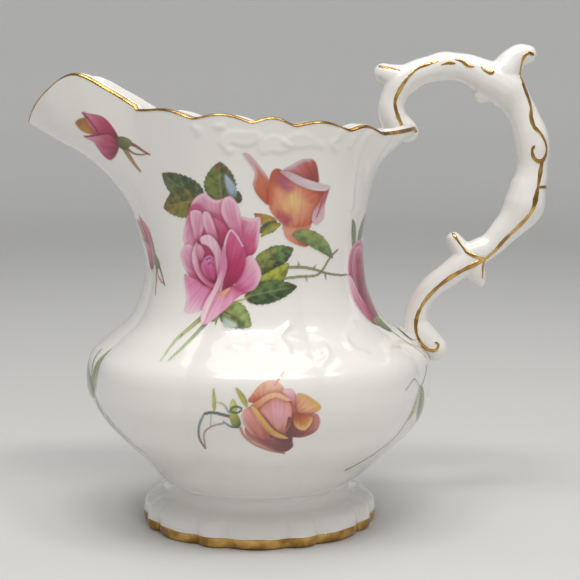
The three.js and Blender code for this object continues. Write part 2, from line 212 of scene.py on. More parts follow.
# The body: bowl, neck and scooped spout, cast in one piece from bone china slip with a wall of
# 2 mm. Eight soft upright panels run round it, low scrolls are cast under the rim and on the
# shoulder, and the rim is scalloped. Sizes are in mm from the bowl's axis and from the table.
foot_low, foot_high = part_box("foot_gilding")
rim_low, rim_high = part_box("rim_gilding")
axis_x = (foot_low.x + foot_high.x) / 2 / MM
bowl_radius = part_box("jug_body")[1].y / MM
gold_at_spout = 0.45
gold_at_heel = 0.5
spout_reach = axis_x - rim_low.x / MM - gold_at_spout
heel_reach = rim_high.x / MM - axis_x - gold_at_heel
waist_radius = 22.6
waist_height = 8.4
bowl_floor = 11.2
bowl_height = 36.5
neck_height = 66
neck_radius = 27.4
neck_lean = 1.1
rim_height = 100.8
rim_reach = 30
spout_rise = 11
heel_drop = 2.7
wall = 2.1
crease_depth = 1.15
scallop_height = 1.35
bowl_lean = 0.95
lower_bowl = [
    (0, 0), (0.025, 0.065), (0.12, 0.115), (0.25, 0.205), (0.38, 0.306), (0.52, 0.406), (0.655, 0.502),
    (0.8, 0.622), (0.955, 0.83), (1, 1),
]
shoulder = [(0.93, 0.22), (0.6, 0.38), (0.25, 0.54), (0.06, 0.76), (0, 1)]
# From the neck up: the direction, how much of the way the rim goes from rim_reach to the heel
# (+) or the spout (-), its rise, and six levels' shares of the reach and of the height.
directions = [
    (0, 1, -heel_drop, (-0.01, 0.08, 0.19, 0.35, 0.71, 1), (0.21, 0.43, 0.61, 0.77, 0.9, 1)),
    (25, 0.6, -heel_drop, (0.01, 0.09, 0.21, 0.4, 0.72, 1), (0.21, 0.42, 0.6, 0.75, 0.89, 1)),
    (50, 0.17, -0.55 * heel_drop, (0.02, 0.13, 0.27, 0.47, 0.73, 1), (0.2, 0.41, 0.58, 0.73, 0.87, 1)),
    (90, 0, 0.2, (0, 0.08, 0.2, 0.42, 0.7, 1), (0.2, 0.4, 0.57, 0.72, 0.86, 1)),
    (125, -0.05, 1.5, (0, 0.1, 0.27, 0.5, 0.75, 1), (0.19, 0.38, 0.54, 0.7, 0.85, 1)),
    (147.7, -0.14, 0.3 * spout_rise, (0.1, 0.3, 0.5, 0.68, 0.86, 1), (0.18, 0.36, 0.52, 0.67, 0.83, 1)),
    (157, -0.32, 0.66 * spout_rise, (0.1, 0.25, 0.48, 0.7, 0.88, 1), (0.17, 0.33, 0.48, 0.63, 0.8, 1)),
    (165, -0.6, spout_rise, (0.07, 0.18, 0.41, 0.65, 0.86, 1), (0.15, 0.3, 0.44, 0.58, 0.76, 1)),
    (172.5, -0.87, 0.5 * spout_rise, (0.05, 0.14, 0.31, 0.54, 0.8, 1), (0.17, 0.34, 0.5, 0.64, 0.78, 1)),
    (180, -1, -0.5, (0.05, 0.12, 0.285, 0.49, 0.74, 1), (0.2, 0.4, 0.59, 0.75, 0.87, 1)),
]
rim_cusps = [-30, 30, 46.5, 72.6, 91.4, 117.8, 147.7]


def bridge(t, span, here, there, slope, next_slope):
    """The cubic from here to there over a span, with a slope at each end."""
    start = (2 * t**3 - 3 * t**2 + 1) * here + (t**3 - 2 * t**2 + t) * span * slope
    end = (3 * t**2 - 2 * t**3) * there + (t**3 - t**2) * span * next_slope
    return start + end


def smooth_through(knots, values, at):
    """A smooth curve through values at knots, level at both ends."""
    knots, values = np.asarray(knots, float), np.asarray(values, float)
    slopes = np.zeros_like(values)
    slopes[1:-1] = (values[2:] - values[:-2]) / (knots[2:] - knots[:-2])
    i = np.clip(np.searchsorted(knots, at) - 1, 0, len(knots) - 2)
    span = knots[i + 1] - knots[i]
    t = (at - knots[i]) / span
    return bridge(t, span, values[i], values[i + 1], slopes[i], slopes[i + 1])


def scallop(degrees, cusps, sharpness=0.75):
    """0 at the cusps, 1 in the middle of each scallop between them, and half where there are none."""
    turn = abs((degrees + 180) % 360 - 180)
    for here, there in zip(cusps, cusps[1:]):
        if here < turn <= there:
            return math.sin(math.pi * (turn - here) / (there - here)) ** sharpness
    return 0.5


def along(points, shares):
    """Places on a smooth curve through points, at shares of its length."""
    points = np.asarray(points, float)
    chord = np.linalg.norm(np.diff(points, axis=0), axis=1)
    knots = np.concatenate([[0], np.cumsum(np.sqrt(chord))])
    slope = np.diff(points, axis=0) / np.diff(knots)[:, None]
    step = np.diff(knots)[:, None]
    between = (slope[:-1] * step[1:] + slope[1:] * step[:-1]) / (step[1:] + step[:-1])
    tangents = np.vstack([slope[:1], between, slope[-1:]])
    at = np.interp(np.asarray(shares) * chord.sum(), np.concatenate([[0], np.cumsum(chord)]), knots)
    i = np.clip(np.searchsorted(knots, at) - 1, 0, len(knots) - 2)
    span = (knots[i + 1] - knots[i])[:, None]
    t = ((at - knots[i]) / span[:, 0])[:, None]
    return bridge(t, span, points[i], points[i + 1], tangents[i], tangents[i + 1])


# The scrolls cast in low relief, square on to either side: across from the axis, and height.
pads = [
    [(-8.1, 95.7), (-7.4, 97.1), (-5.6, 98.2), (-2.6, 98.1), (0.3, 98), (0.5, 96.9), (-1, 95.7),
     (-2.8, 95.4), (-4.3, 95.8), (-5.8, 96), (-6.6, 95)],
    [(0.8, 94.6), (1.8, 93.7), (3.6, 94.2), (6, 93.9), (7.7, 94.8), (6.8, 96), (5.3, 97), (3.4, 97.1),
     (2.2, 96.2), (1, 97)],
    [(6.4, 96.2), (8.3, 97.3), (10.1, 97.9), (12.4, 97.1), (15.3, 95.1), (12.8, 95.4), (10.1, 95),
     (7.8, 95.3)],
]
scrolls = [
    [(-6.9, 94.8), (-6.1, 93.8), (-5.6, 94.2)], [(-14.2, 99.3), (-13, 98.6), (-13.2, 97.8)],
    [(-8.9, 99.6), (-7.6, 99.5)],
    [(19.6, 98.2), (18.9, 96.9), (17.6, 95.6), (18.4, 94.3)], [(22.9, 97), (21.9, 95)],
    [(26.8, 98.1), (25.3, 96.8), (24.2, 94.2), (23.2, 90.2), (22.6, 85), (22.4, 80)],
    [(29.2, 94), (27.4, 90.8), (26.2, 86.5)], [(31.4, 96.9), (29.6, 93.8), (28, 90.4), (26.9, 86)],
    [(7.5, 49), (5.4, 51.5), (7.6, 53.7)], [(15, 46), (16.6, 47.3), (15.9, 48.8), (14.4, 47.9)],
    [(23, 52.5), (20.8, 50.4), (22.5, 48), (26, 46.6)],
]


def apart(x, z, line):
    """How far points are from a line of points."""
    ax, az = np.asarray(line, float)[:-1].T
    bx, bz = np.diff(np.asarray(line, float), axis=0).T
    x, z = x[:, None], z[:, None]
    t = np.clip(((x - ax) * bx + (z - az) * bz) / (bx**2 + bz**2 + 1e-12), 0, 1)
    return np.hypot(x - ax - t * bx, z - az - t * bz).min(axis=1)


def within(x, z, line):
    """Whether points are inside a closed line of points."""
    ax, az = np.asarray(line, float)[:-1].T
    bx, bz = np.asarray(line, float)[1:].T
    x, z = x[:, None], z[:, None]
    crossed = ((az > z) != (bz > z)) & (x < (bx - ax) * (z - az) / np.where(bz == az, 1, bz - az) + ax)
    return crossed.sum(axis=1) % 2 == 1


def ringed(points, steps=6):
    """A closed smooth line through points."""
    points = np.asarray(points, float)
    t = np.linspace(0, 1, steps, endpoint=False)[:, None]
    spans = []
    for i in range(len(points)):
        a, b, c, d = [points[(i + k) % len(points)] for k in (-1, 0, 1, 2)]
        bend, twist = 2 * a - 5 * b + 4 * c - d, 3 * b - a - 3 * c + d
        spans.append(0.5 * (2 * b + (c - a) * t + bend * t**2 + twist * t**3))
    line = np.vstack(spans)
    return np.vstack([line, line[:1]])


def inward(outline, thickness):
    """The outline moved inwards by a wall's thickness."""
    step = np.gradient(outline, axis=0)
    step /= np.linalg.norm(step, axis=1)[:, None]
    return outline - thickness * np.stack([step[:, 1], -step[:, 0]], axis=1)


pad_lines = [ringed(pad) for pad in pads]
pad_height = 0.22
pad_rim = 0.26
scroll_height = 0.36
scroll_lines = [along(scroll, np.linspace(0, 1, 14)) for scroll in scrolls]


def relief(x, z):
    """How far the cast scrolls stand out of the wall, in mm."""
    stands = np.zeros(len(x))
    for line in pad_lines:
        edge = np.exp(-((apart(x, z, line) / 0.5) ** 2))
        stands += within(x, z, line) * pad_height * (1 - edge) + pad_rim * edge
    for line in scroll_lines:
        stands = np.maximum(stands, scroll_height * np.exp(-((apart(x, z, line) / 0.6) ** 2)))
    return stands


def meridian(degrees, shares, cast=0):
    """(out, height) up the outside in one direction, from the waist to the rim, with cast relief."""
    turn = abs((degrees + 180) % 360 - 180)
    knots = [d[0] for d in directions]
    neck = neck_radius - neck_lean * math.cos(math.radians(turn))
    reaches = [abs(d[1]) * ((heel_reach if d[1] > 0 else spout_reach) - rim_reach) for d in directions]
    reach = rim_reach + smooth_through(knots, reaches, turn)
    rim = rim_height + smooth_through(knots, [d[2] for d in directions], turn)
    points = []
    for shape, radius, low, high in (
        (lower_bowl, waist_radius, waist_height, bowl_height),
        (shoulder, neck, bowl_height, neck_height),
    ):
        points += [(radius + out * (bowl_radius - radius), low + up * (high - low)) for out, up in shape]
    for level in range(6):
        out = smooth_through(knots, [d[3][level] for d in directions], turn)
        up = smooth_through(knots, [d[4][level] for d in directions], turn)
        points.append((neck + out * (reach - neck), neck_height + up * (rim - neck_height)))
    outline = along(points, shares)
    crease = 1 - (math.cos(math.radians(turn) * 4) ** 2 + 0.006) ** 0.35
    depth = crease_depth * np.sin(np.pi * np.minimum(1, np.asarray(shares) * 1.25)) ** 0.5
    outline[:, 0] -= crease * depth
    wave = scallop_height * (scallop(degrees, rim_cusps, 1.3) - 0.5)
    outline[:, 1] += wave * np.clip((np.asarray(shares) - 0.86) / 0.14, 0, 1) ** 1.6
    lower = np.clip((outline[:, 1] - 11) / 23, 0, 1)
    outline[:, 0] += bowl_lean * np.sin(np.pi * lower) * math.cos(math.radians(turn))
    if cast:
        across = outline[:, 0] * abs(math.sin(math.radians(degrees)))
        side = outline[:, 0] * math.cos(math.radians(degrees))
        stands = relief(side, outline[:, 1]) * np.clip((across - 8) / 6, 0, 1)
        outline = inward(outline, -stands[:, None])
    return outline


def stood(outline, degrees):
    """A section's (out, height) points stood up in one direction from the axis."""
    out, height = outline.T
    angle = math.radians(degrees)
    return np.stack([axis_x + out * math.cos(angle), out * math.sin(angle), height], axis=1)


def wrap(name, around, place):
    """A sheet of clay wrapped round the axis. place gives its section in one direction."""
    turned = [stood(place(360 * column / around), 360 * column / around) for column in range(around)]
    piece, _ = sheet(name, np.array(turned + turned[:1]) * MM)
    weld(inside=False)
    return piece


outer_shares = np.concatenate([np.linspace(0, 0.66, 92, endpoint=False), np.linspace(0.66, 1, 84)])
inner_shares = np.linspace(1, 0.07, 46)
rim_roll = [(0.28, 0.2), (0.7, 0.32), (1.2, 0.32), (1.65, 0.2)]


def body_outline(degrees):
    """The cast's section: from the middle underneath, up the outside, over the rim, down inside."""
    outer = meridian(degrees, outer_shares, 1)
    inner = inward(meridian(degrees, inner_shares[::-1]), wall)[::-1]
    rise = (outer[-1] - outer[-2]) / np.linalg.norm(outer[-1] - outer[-2])
    outer[-1] -= 0.15 * rise
    roll = [outer[-1] + a * np.array([-rise[1], rise[0]]) + b * rise for a, b in rim_roll]
    under = np.linspace(0, 1, 5, endpoint=False)[:, None] * outer[0]
    under[:, 1] = outer[0, 1]
    floor = np.linspace(1, 0, 6)[1:, None] * inner[-1]
    floor[:, 1] = np.linspace(inner[-1, 1], bowl_floor, 6)[1:]
    return np.vstack([under, outer, roll, inner, floor])


body = wrap("cast_body", 400, body_outline)
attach(body, "root")
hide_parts("jug_body")


def glaze(name, printed=None):
    """Clear glaze over ivory bone china. printed names the attribute of a print under the glaze."""
    made, shader, place = material(name)
    colour = place.noise(0.05, 0).mix((0.835, 0.812, 0.765), (0.865, 0.848, 0.81))
    pinhole = place.node("ShaderNodeTexVoronoi", Vector=place, Scale=260)
    rare = place.noise(0.006).rise(0.66, 0.7)
    colour = (rare * (1 - pinhole.rise(0.02, 0.05))).mix(colour, (0.30, 0.22, 0.15))
    if printed:
        enamel = place.node("ShaderNodeAttribute", {"attribute_name": printed})
        cover = Socket(place.tree, enamel.output.node.outputs["Alpha"])
        colour = cover.mix(colour, enamel)
    ripple = place.noise(0.006, 3) * 0.7 + place.noise(0.0016, 2) * 0.3
    wire(shader, Base_Color=colour, Roughness=0.26, IOR=1.5)
    wire(shader, Coat_Weight=1.0, Coat_Roughness=0.025, Coat_IOR=1.52)
    wire(shader, Normal=place.node("ShaderNodeBump", Height=ripple, Strength=0.025, Distance=0.0002))
    return made


china = glaze("glazed_china")
body.data.materials.append(china)

# The prints: litho transfers of garden roses, floated onto the glazed ware and fired in, so
# that they lie just under the surface. Each is worked up in washes: shadows under the petals,
# paler rolled edges, veins and thorns. Colours are as mixed on a palette, from 0 to 255.
def ink(levels):
    """A palette colour in the light's own terms."""
    return np.array([((c / 255 + 0.055) / 1.055) ** 2.4 for c in levels])


def ease(value, low, high):
    """0 below low and 1 above high, smooth between."""
    t = np.clip((value - low) / (high - low), 0, 1)
    return t * t * (3 - 2 * t)


def blend(here, there, share):
    """The colour here where share is 0, and there where it is 1."""
    share = np.atleast_1d(share)[:, None]
    return here * (1 - share) + there * share


def measured(x, z, base, tip):
    """How far points lie ahead from a base towards a tip, how far aside, and the tip's distance."""
    way = np.subtract(tip, base)
    length = np.hypot(*way)
    ahead = ((x - base[0]) * way[0] + (z - base[1]) * way[1]) / length
    aside = ((z - base[1]) * way[0] - (x - base[0]) * way[1]) / length
    return ahead, aside, length


class Painting:
    """Brushwork on a sheet whose points are at x and z, square on. Later strokes cover earlier ones."""

    def __init__(self, x, z):
        self.sheet = np.stack([x, z], axis=1)
        self.colour = np.zeros((len(x), 3))
        self.cover = np.zeros(len(x))
        self.move(0, 0)

    def move(self, x, z, turn=0, size=1.0):
        """Sets where the next strokes' origin lies, and how they are turned and sized."""
        angle = math.radians(turn)
        shifted = (self.sheet - (x, z)) / size
        self.x = shifted[:, 0] * math.cos(angle) + shifted[:, 1] * math.sin(angle)
        self.z = shifted[:, 1] * math.cos(angle) - shifted[:, 0] * math.sin(angle)

    def near(self, line, margin):
        """Which of the sheet's points lie in a margin round a line."""
        low, high = line.min(axis=0) - margin, line.max(axis=0) + margin
        level = (self.z > low[1]) & (self.z < high[1])
        return np.nonzero(level & (self.x > low[0]) & (self.x < high[0]))[0]

    def lay(self, index, amount, colour):
        """Lays some colour over what is there."""
        under = self.cover[index] * (1 - amount)
        total = np.maximum(under + amount, 1e-6)
        mixed = self.colour[index] * under[:, None] + colour * amount[:, None]
        self.colour[index] = mixed / total[:, None]
        self.cover[index] = under + amount

    def petal(
        self, points, base, tip, deep, mid, pale, lip=None, lip_width=0.42, cast=0.55, heart=None, soft=0.13
    ):
        """A petal, dark at its base and pale at its tip, with a paler lip, and the shadow it casts."""
        deep, mid, pale = ink(deep), ink(mid), ink(pale)
        line = ringed(points)
        index = self.near(line, 1.3)
        if not len(index):
            return
        x, z = self.x[index], self.z[index]
        depth = apart(x, z, line) * np.where(within(x, z, line), 1, -1)
        ahead, aside, length = measured(x, z, base, tip)
        fan = np.arctan2(aside, ahead + 0.35 * length)
        t = 1 - np.hypot(x - heart[0], z - heart[1]) / heart[2] if heart else ahead / length
        t = t + 0.05 * np.sin(fan * 19 + 2 * t) + 0.04 * np.sin(aside * 2.1 + ahead * 0.8)
        colour = blend(blend(deep, mid, ease(t, -0.05, 0.45)), pale, ease(t, 0.4, 1.0))
        colour = colour * (1 + 0.07 * np.sin(fan * 43 + 3 * np.sin(fan * 11)) * ease(t, 0, 0.3))[:, None]
        colour = blend(colour, deep, 0.28 * np.exp(-((depth / 0.16) ** 2)))
        if lip is not None:
            rolled = 0.85 * np.exp(-(((depth - 0.3) / lip_width) ** 2)) * ease(t, 0.15, 0.7)
            colour = blend(colour, ink(lip), rolled)
        shade = cast * np.exp(-((np.minimum(depth, 0) / 0.55) ** 2)) * (depth < 0.12)
        self.colour[index] = blend(self.colour[index], self.colour[index] * (0.62, 0.36, 0.4), shade)
        self.lay(index, ease(depth, -soft, soft), np.clip(colour, 0, 1))

    def leaf(self, base, tip, width, bend, dark, light, rib, blush=None, teeth=9):
        """A veined leaf, darker on one half, toothed at the edge, and browned at the tip by a blush."""
        dark, light, rib = ink(dark), ink(light), ink(rib)
        index = self.near(np.array([base, tip]), width + abs(bend))
        if not len(index):
            return
        x, z = self.x[index], self.z[index]
        ahead, aside, length = measured(x, z, base, tip)
        t = ahead / length
        aside = aside - bend * 4 * t * (1 - t)
        inside = np.clip(t, 0.0001, 0.9999)
        half = 0.5 * width * 2.49 * inside**0.55 * (1 - inside) ** 0.8
        half = half * (1 + 0.09 * ((t * teeth) % 1 - 0.5))
        depth = np.where((t > 0) & (t < 1), half - np.abs(aside), -1.0)
        lateral = (t * 5.5 - np.abs(aside) / width * 2.3 + 0.12 * np.sin(5 * aside + 3 * x)) % 1 - 0.5
        vein = np.exp(-((lateral / 0.09) ** 2)) * (0.5 + 0.5 * np.sin(2.3 * x + 1.7 * z))
        wash = 0.5 + 0.32 * np.tanh(aside * 1.4) + 0.22 * np.sin(1.9 * x + 1.1 * z)
        wash += 0.2 * np.sin(2.7 * z - 1.3 * x + 1)
        wash += 0.09 * np.cos(lateral * 2 * np.pi) + 0.12 * np.sin(4.3 * x + 2 * z) * np.sin(3.7 * z - x)
        colour = blend(dark, light, np.clip(wash, 0, 1))
        colour = blend(colour, rib, 0.34 * vein + 0.6 * np.exp(-((aside / 0.2) ** 2)) * (1 - 0.6 * t))
        colour = blend(colour, dark * 0.55, 0.5 * np.exp(-((depth / 0.2) ** 2)))
        if blush is not None:
            colour = blend(colour, ink(blush), 0.75 * ease(t + 0.1 * np.sin(3 * aside), 0.7, 1.0))
        shade = 0.5 * np.exp(-((np.minimum(depth, 0) / 0.4) ** 2)) * (depth < 0.1) * (t > 0) * (t < 1)
        self.colour[index] = blend(self.colour[index], self.colour[index] * 0.45, shade)
        self.lay(index, ease(depth, -0.1, 0.12), np.clip(colour, 0, 1))

    def stem(self, points, width, end_width, colour, end_colour):
        """A stroke drawn through points, tapering and changing colour as it goes."""
        line = along(points, np.linspace(0, 1, 40))
        index = self.near(line, width)
        if not len(index):
            return
        x, z = self.x[index], self.z[index]
        gaps = np.hypot(x[:, None] - line[:, 0], z[:, None] - line[:, 1])
        t = gaps.argmin(axis=1) / 39
        half = 0.5 * (width + (end_width - width) * t)
        depth = half - apart(x, z, line)
        shaded = blend(ink(colour), ink(end_colour), t) * (0.72 + 0.5 * ease(depth / half, 0, 1))[:, None]
        self.lay(index, ease(depth, -0.09, 0.11) * 0.94, np.clip(shaded, 0, 1))


def paint_pink_rose(art):
    """The full-blown pink rose, seen three-quarters on, about 19 mm across and 30 mm tall."""
    crimson, wine, rose = (140, 22, 64), (172, 42, 92), (198, 84, 128)
    shell, blush, milk = (214, 132, 164), (226, 165, 190), (236, 196, 212)
    art.petal([(4.1, 6), (4.6, 10.1), (3.7, 12.9), (2.3, 14.5), (0, 13.6), (-1.6, 13.6), (-3.9, 15),
               (-6.4, 13.3), (-7.1, 10.6), (-5.5, 7.6), (-1.2, 6.9), (2.3, 5.3)], (-1, 5), (-1.5, 15), wine,
              shell, blush, milk)
    art.petal([(-6.9, 12), (-8.3, 8.3), (-9, 4.1), (-8, 1.6), (-6.4, 1.8), (-5, 5.3), (-3.9, 9.9),
               (-4.6, 12.2)], (-4.2, 9), (-9, 2.5), rose, shell, blush, milk)
    art.petal([(-8.3, 2.8), (-9.7, 0.5), (-8.7, -2.8), (-6.9, -5.3), (-4.6, -5), (-4.6, -0.5), (-6.4, 2.3)],
              (-4.6, -3.5), (-9.5, 1), rose, shell, blush, milk)
    art.petal([(4.4, 9.4), (6.9, 9.2), (9.2, 9.4), (9, 5.3), (8.3, 1.8), (6.9, 0.5), (4.6, 0), (4.4, 4.1)],
              (4.4, 0.5), (8.8, 9.6), wine, rose, blush, milk, 0.35)
    art.petal([(-8.8, -4.4), (-8.3, -9.7), (-8.5, -12.9), (-4.6, -12.4), (-1.4, -9.7), (0.5, -6.2),
               (-3.4, -5.8), (-6.9, -5)], (-2.2, -5), (-8, -13.5), rose, (222, 140, 178), (236, 192, 210),
              milk, 0.3)
    art.petal([(6.2, -7.8), (4.1, -9), (0.5, -12.4), (-3.5, -15.4), (-4.6, -14.3), (-3.2, -10.1),
               (-1.2, -7.4), (2.8, -6.2)], (1.5, -5.5), (-3.8, -15), (205, 100, 140), (228, 160, 190),
              (236, 188, 206))
    art.petal([(-3.9, 10.1), (0.5, 9.7), (3.2, 6), (4.9, 1.8), (5.2, -1.6), (3.7, -5.5), (1.2, -6.9),
               (-0.5, -7.4), (-4.6, -6.2), (-6.4, -2.8), (-6.4, 1.8), (-5.2, 5.9)], (0, -6), (-2, 10.5),
              crimson, wine, rose)
    art.petal([(0.6, 13.4), (2.3, 14.2), (3.9, 12.7), (4.7, 8.7), (4.7, 5.3), (3.5, 4.6), (1.8, 7.4),
               (0.3, 10.4)], (3.8, 4.6), (1.5, 14), rose, shell, blush, milk, 0.5)
    art.petal([(-7.2, 10.4), (-4.8, 10.8), (-3.8, 8.4), (-4.6, 5), (-6, 2.8), (-6.6, 6)], (-6, 2.6),
              (-6, 11), wine, shell, blush, milk, 0.4)
    art.petal([(-1.9, 9.4), (0.9, 7.8), (2.2, 4.8), (1.3, 2.6), (-0.6, 3.4), (-2, 6.6)], (0.3, 2.4), (0, 9),
              crimson, wine, (206, 104, 142))
    art.petal([(-4.1, 10.4), (-2.6, 10.3), (-1.3, 7), (-0.6, 3.8), (-2.2, 3.9), (-3.8, 6.8)], (-1.4, 3.2),
              (-3.4, 10.6), wine, shell, blush, milk, 0.4)
    art.petal([(6.9, 0.7), (8.7, -1.4), (9.4, -3.9), (8.3, -6.7), (6.2, -7.8), (4.1, -7.4), (3.1, -5),
               (4.4, -1.6)], (3.4, -7), (8.4, -0.8), (186, 66, 118), (216, 134, 170), (230, 176, 200), milk,
              0.55)
    art.petal([(2.3, 6.6), (4.6, 4.1), (5.9, 0.9), (5.4, -2.8), (3.8, -5.5), (1.4, -7.1), (-0.2, -7.8),
               (0.3, -4.6), (1.1, -0.9), (1, 3.4)], (1.2, -6.8), (4.4, 5), crimson, (180, 40, 94),
              (206, 88, 138))
    art.stem([(-0.2, -7.6), (0.4, -4.2), (0.9, -0.6), (1, 3.2), (2.4, 6.5), (3.5, 5.6), (5.2, 2.8)], 0.95,
             0.35, blush, milk)
    art.petal([(-5.8, 3.5), (-6.9, 0.5), (-6.4, -2.8), (-4.6, -5.5), (-2.1, -7.1), (-0.9, -6.1),
               (-3.5, -4.6), (-5.2, -1.8), (-5.2, 1.6)], (-1.5, -6.2), (-6.8, 1.5), (205, 105, 145), blush,
              milk)
    art.petal([(-5.2, 2.8), (-1.8, 2.6), (-0.1, -0.9), (-0.1, -4.1), (-1.4, -6.1), (-3.5, -5),
               (-5.2, -2.3)], (-0.8, -1), (-5, 0), crimson, wine, (192, 70, 116))
    art.petal([(-3.9, -0.2), (-2.3, 0.4), (-0.7, -1.3), (-0.6, -3.9), (-1.8, -5.5), (-3.7, -4.5),
               (-4.7, -2.3)], (-1.2, -5.8), (-3.2, 0.6), crimson, (196, 84, 136), (218, 140, 182))
    for curl in (
        [(-3.4, -0.6), (-2.6, -0.1), (-1.8, -0.8)], [(-3, -1.6), (-2.3, -1.2), (-1.7, -2)],
        [(-5.1, 2.2), (-4.2, 1.2), (-4.4, 0)], [(-4.4, 2.4), (-3.5, 1.5), (-3.6, 0.4), (-4.4, -0.2)],
    ):
        art.stem(curl, 0.42, 0.2, wine, crimson)
    art.petal([(-4.8, 4.6), (-2.8, 5.3), (-0.8, 3.6), (0.3, 0.5), (0.4, -2.8), (-0.6, -6.1), (-1.1, -2.4),
               (-1.7, 0.8), (-3.2, 2.7), (-4.6, 3.2)], (-0.8, -5.6), (-2.4, 5.2), rose, blush, milk,
              cast=0.7)
    art.petal([(-5.6, 2.9), (-4.6, 2.6), (-3.9, 1.2), (-4.5, -0.8), (-5.5, 0.3)], (-4, -0.8), (-5.2, 3),
              wine, shell, blush)
    art.petal([(0.5, 2.6), (1.5, -0.9), (1, -4.1), (-0.8, -7.8), (-2.8, -12), (-4.1, -15.2), (-4.8, -13.8),
               (-3.7, -10.4), (-1.9, -7.4), (-0.6, -4.1), (0, -0.9)], (0, -3), (-4, -13), (216, 130, 168),
              milk, (240, 206, 218))
    art.petal([(-0.9, -9), (0.5, -7.7), (2.3, -6.9), (0.9, -8.6)], (-1, -9), (2.3, -7), (215, 160, 100),
              (222, 172, 116), (230, 180, 150), cast=0)


def paint_peach_bud(art):
    """The half-open apricot rose, upright, with one petal thrown back, about 20 mm across."""
    rust, burnt, apricot, lilac = (150, 48, 38), (184, 80, 46), (214, 140, 104), (206, 184, 190)
    art.petal([(-12.4, 10.4), (-10.8, 10.1), (-8.1, 6.9), (-6.2, 3.7), (-6.4, -1.4), (-9, 0.7),
               (-10.1, 3.2), (-9.7, 6), (-11.3, 8.7)], (-6.6, -0.5), (-12, 10.4), burnt, (196, 108, 74),
              (206, 160, 158), lilac, 0.3)
    art.petal([(-3.4, 6), (-1.2, 7.8), (1.4, 9), (3.9, 8.8), (4.9, 6.4), (4.8, 3), (0.7, 4.4)], (3, 4.5),
              (-1.8, 8), rust, (186, 84, 72), (206, 150, 168), lilac, 0.45)
    art.petal([(-3.2, -5.8), (0.7, -6.5), (3.3, -6), (2.5, -7.8), (-0.5, -8.3), (1.2, -9.7), (2.8, -10.8),
               (2.1, -11.5), (0.2, -11), (-2.1, -9.7), (-3, -8.1)], (-1, -6), (2, -11.5), (214, 150, 124),
              (216, 140, 106), burnt)
    art.petal([(-6.2, 5.3), (-5, 6.9), (-3.2, 6.4), (-1.2, 4.1), (1.8, 2.8), (4.8, 1.8), (6.8, 1.5),
               (5.8, -1.6), (4.2, -4.1), (3.5, -6), (0.7, -6.7), (-2.8, -6.2), (-4.8, -4.6), (-6.4, -2.1),
               (-6.5, 1.8)], (0, -6), (0, 5), burnt, apricot, (226, 186, 124), heart=(-0.9, -0.8, 6.4))
    art.petal([(-4.8, 4.8), (-2.4, 4.8), (-0.4, 2.6), (-1.6, 1.6), (-3.8, 2.6)], (-3, 3), (3, 3),
              (168, 78, 104), (190, 110, 110), (206, 130, 106), cast=0, soft=0.9)
    art.petal([(-4.6, -2.6), (-2.2, -3.4), (-1.2, -5), (-2.6, -5.9), (-4.6, -4.2)], (-3, -5.5), (-2, -2),
              (158, 52, 80), (184, 84, 84), (206, 128, 100), cast=0, soft=0.8)
    art.petal([(1.6, 1.8), (5.8, 1), (4.6, -1.4), (2, -0.6)], (5.5, 1.5), (1, -1), (176, 66, 48),
              (200, 106, 72), (216, 140, 110), cast=0, soft=0.7)
    art.petal([(6.9, 1.9), (7.7, 2.3), (6.6, -1.6), (6.4, -4.6), (4.9, -6.3), (3.6, -5.6), (3.8, -3.2),
               (5.2, -0.7)], (5, -1), (6.4, -5), (178, 92, 96), (208, 156, 168), (216, 176, 182), lilac,
              0.4)
    art.stem([(5.9, -1), (5.2, -3), (4.6, -4.6)], 0.5, 0.2, burnt, rust)
    art.petal([(-3.9, 6.3), (-1.6, 6.1), (1.8, 4.6), (5.3, 3.4), (7.8, 2.6), (6.7, 1.6), (3.5, 1.9),
               (0.2, 3.2), (-2.5, 5)], (-3, 4), (3, 6), (196, 150, 156), lilac, (216, 202, 206), cast=0.7)


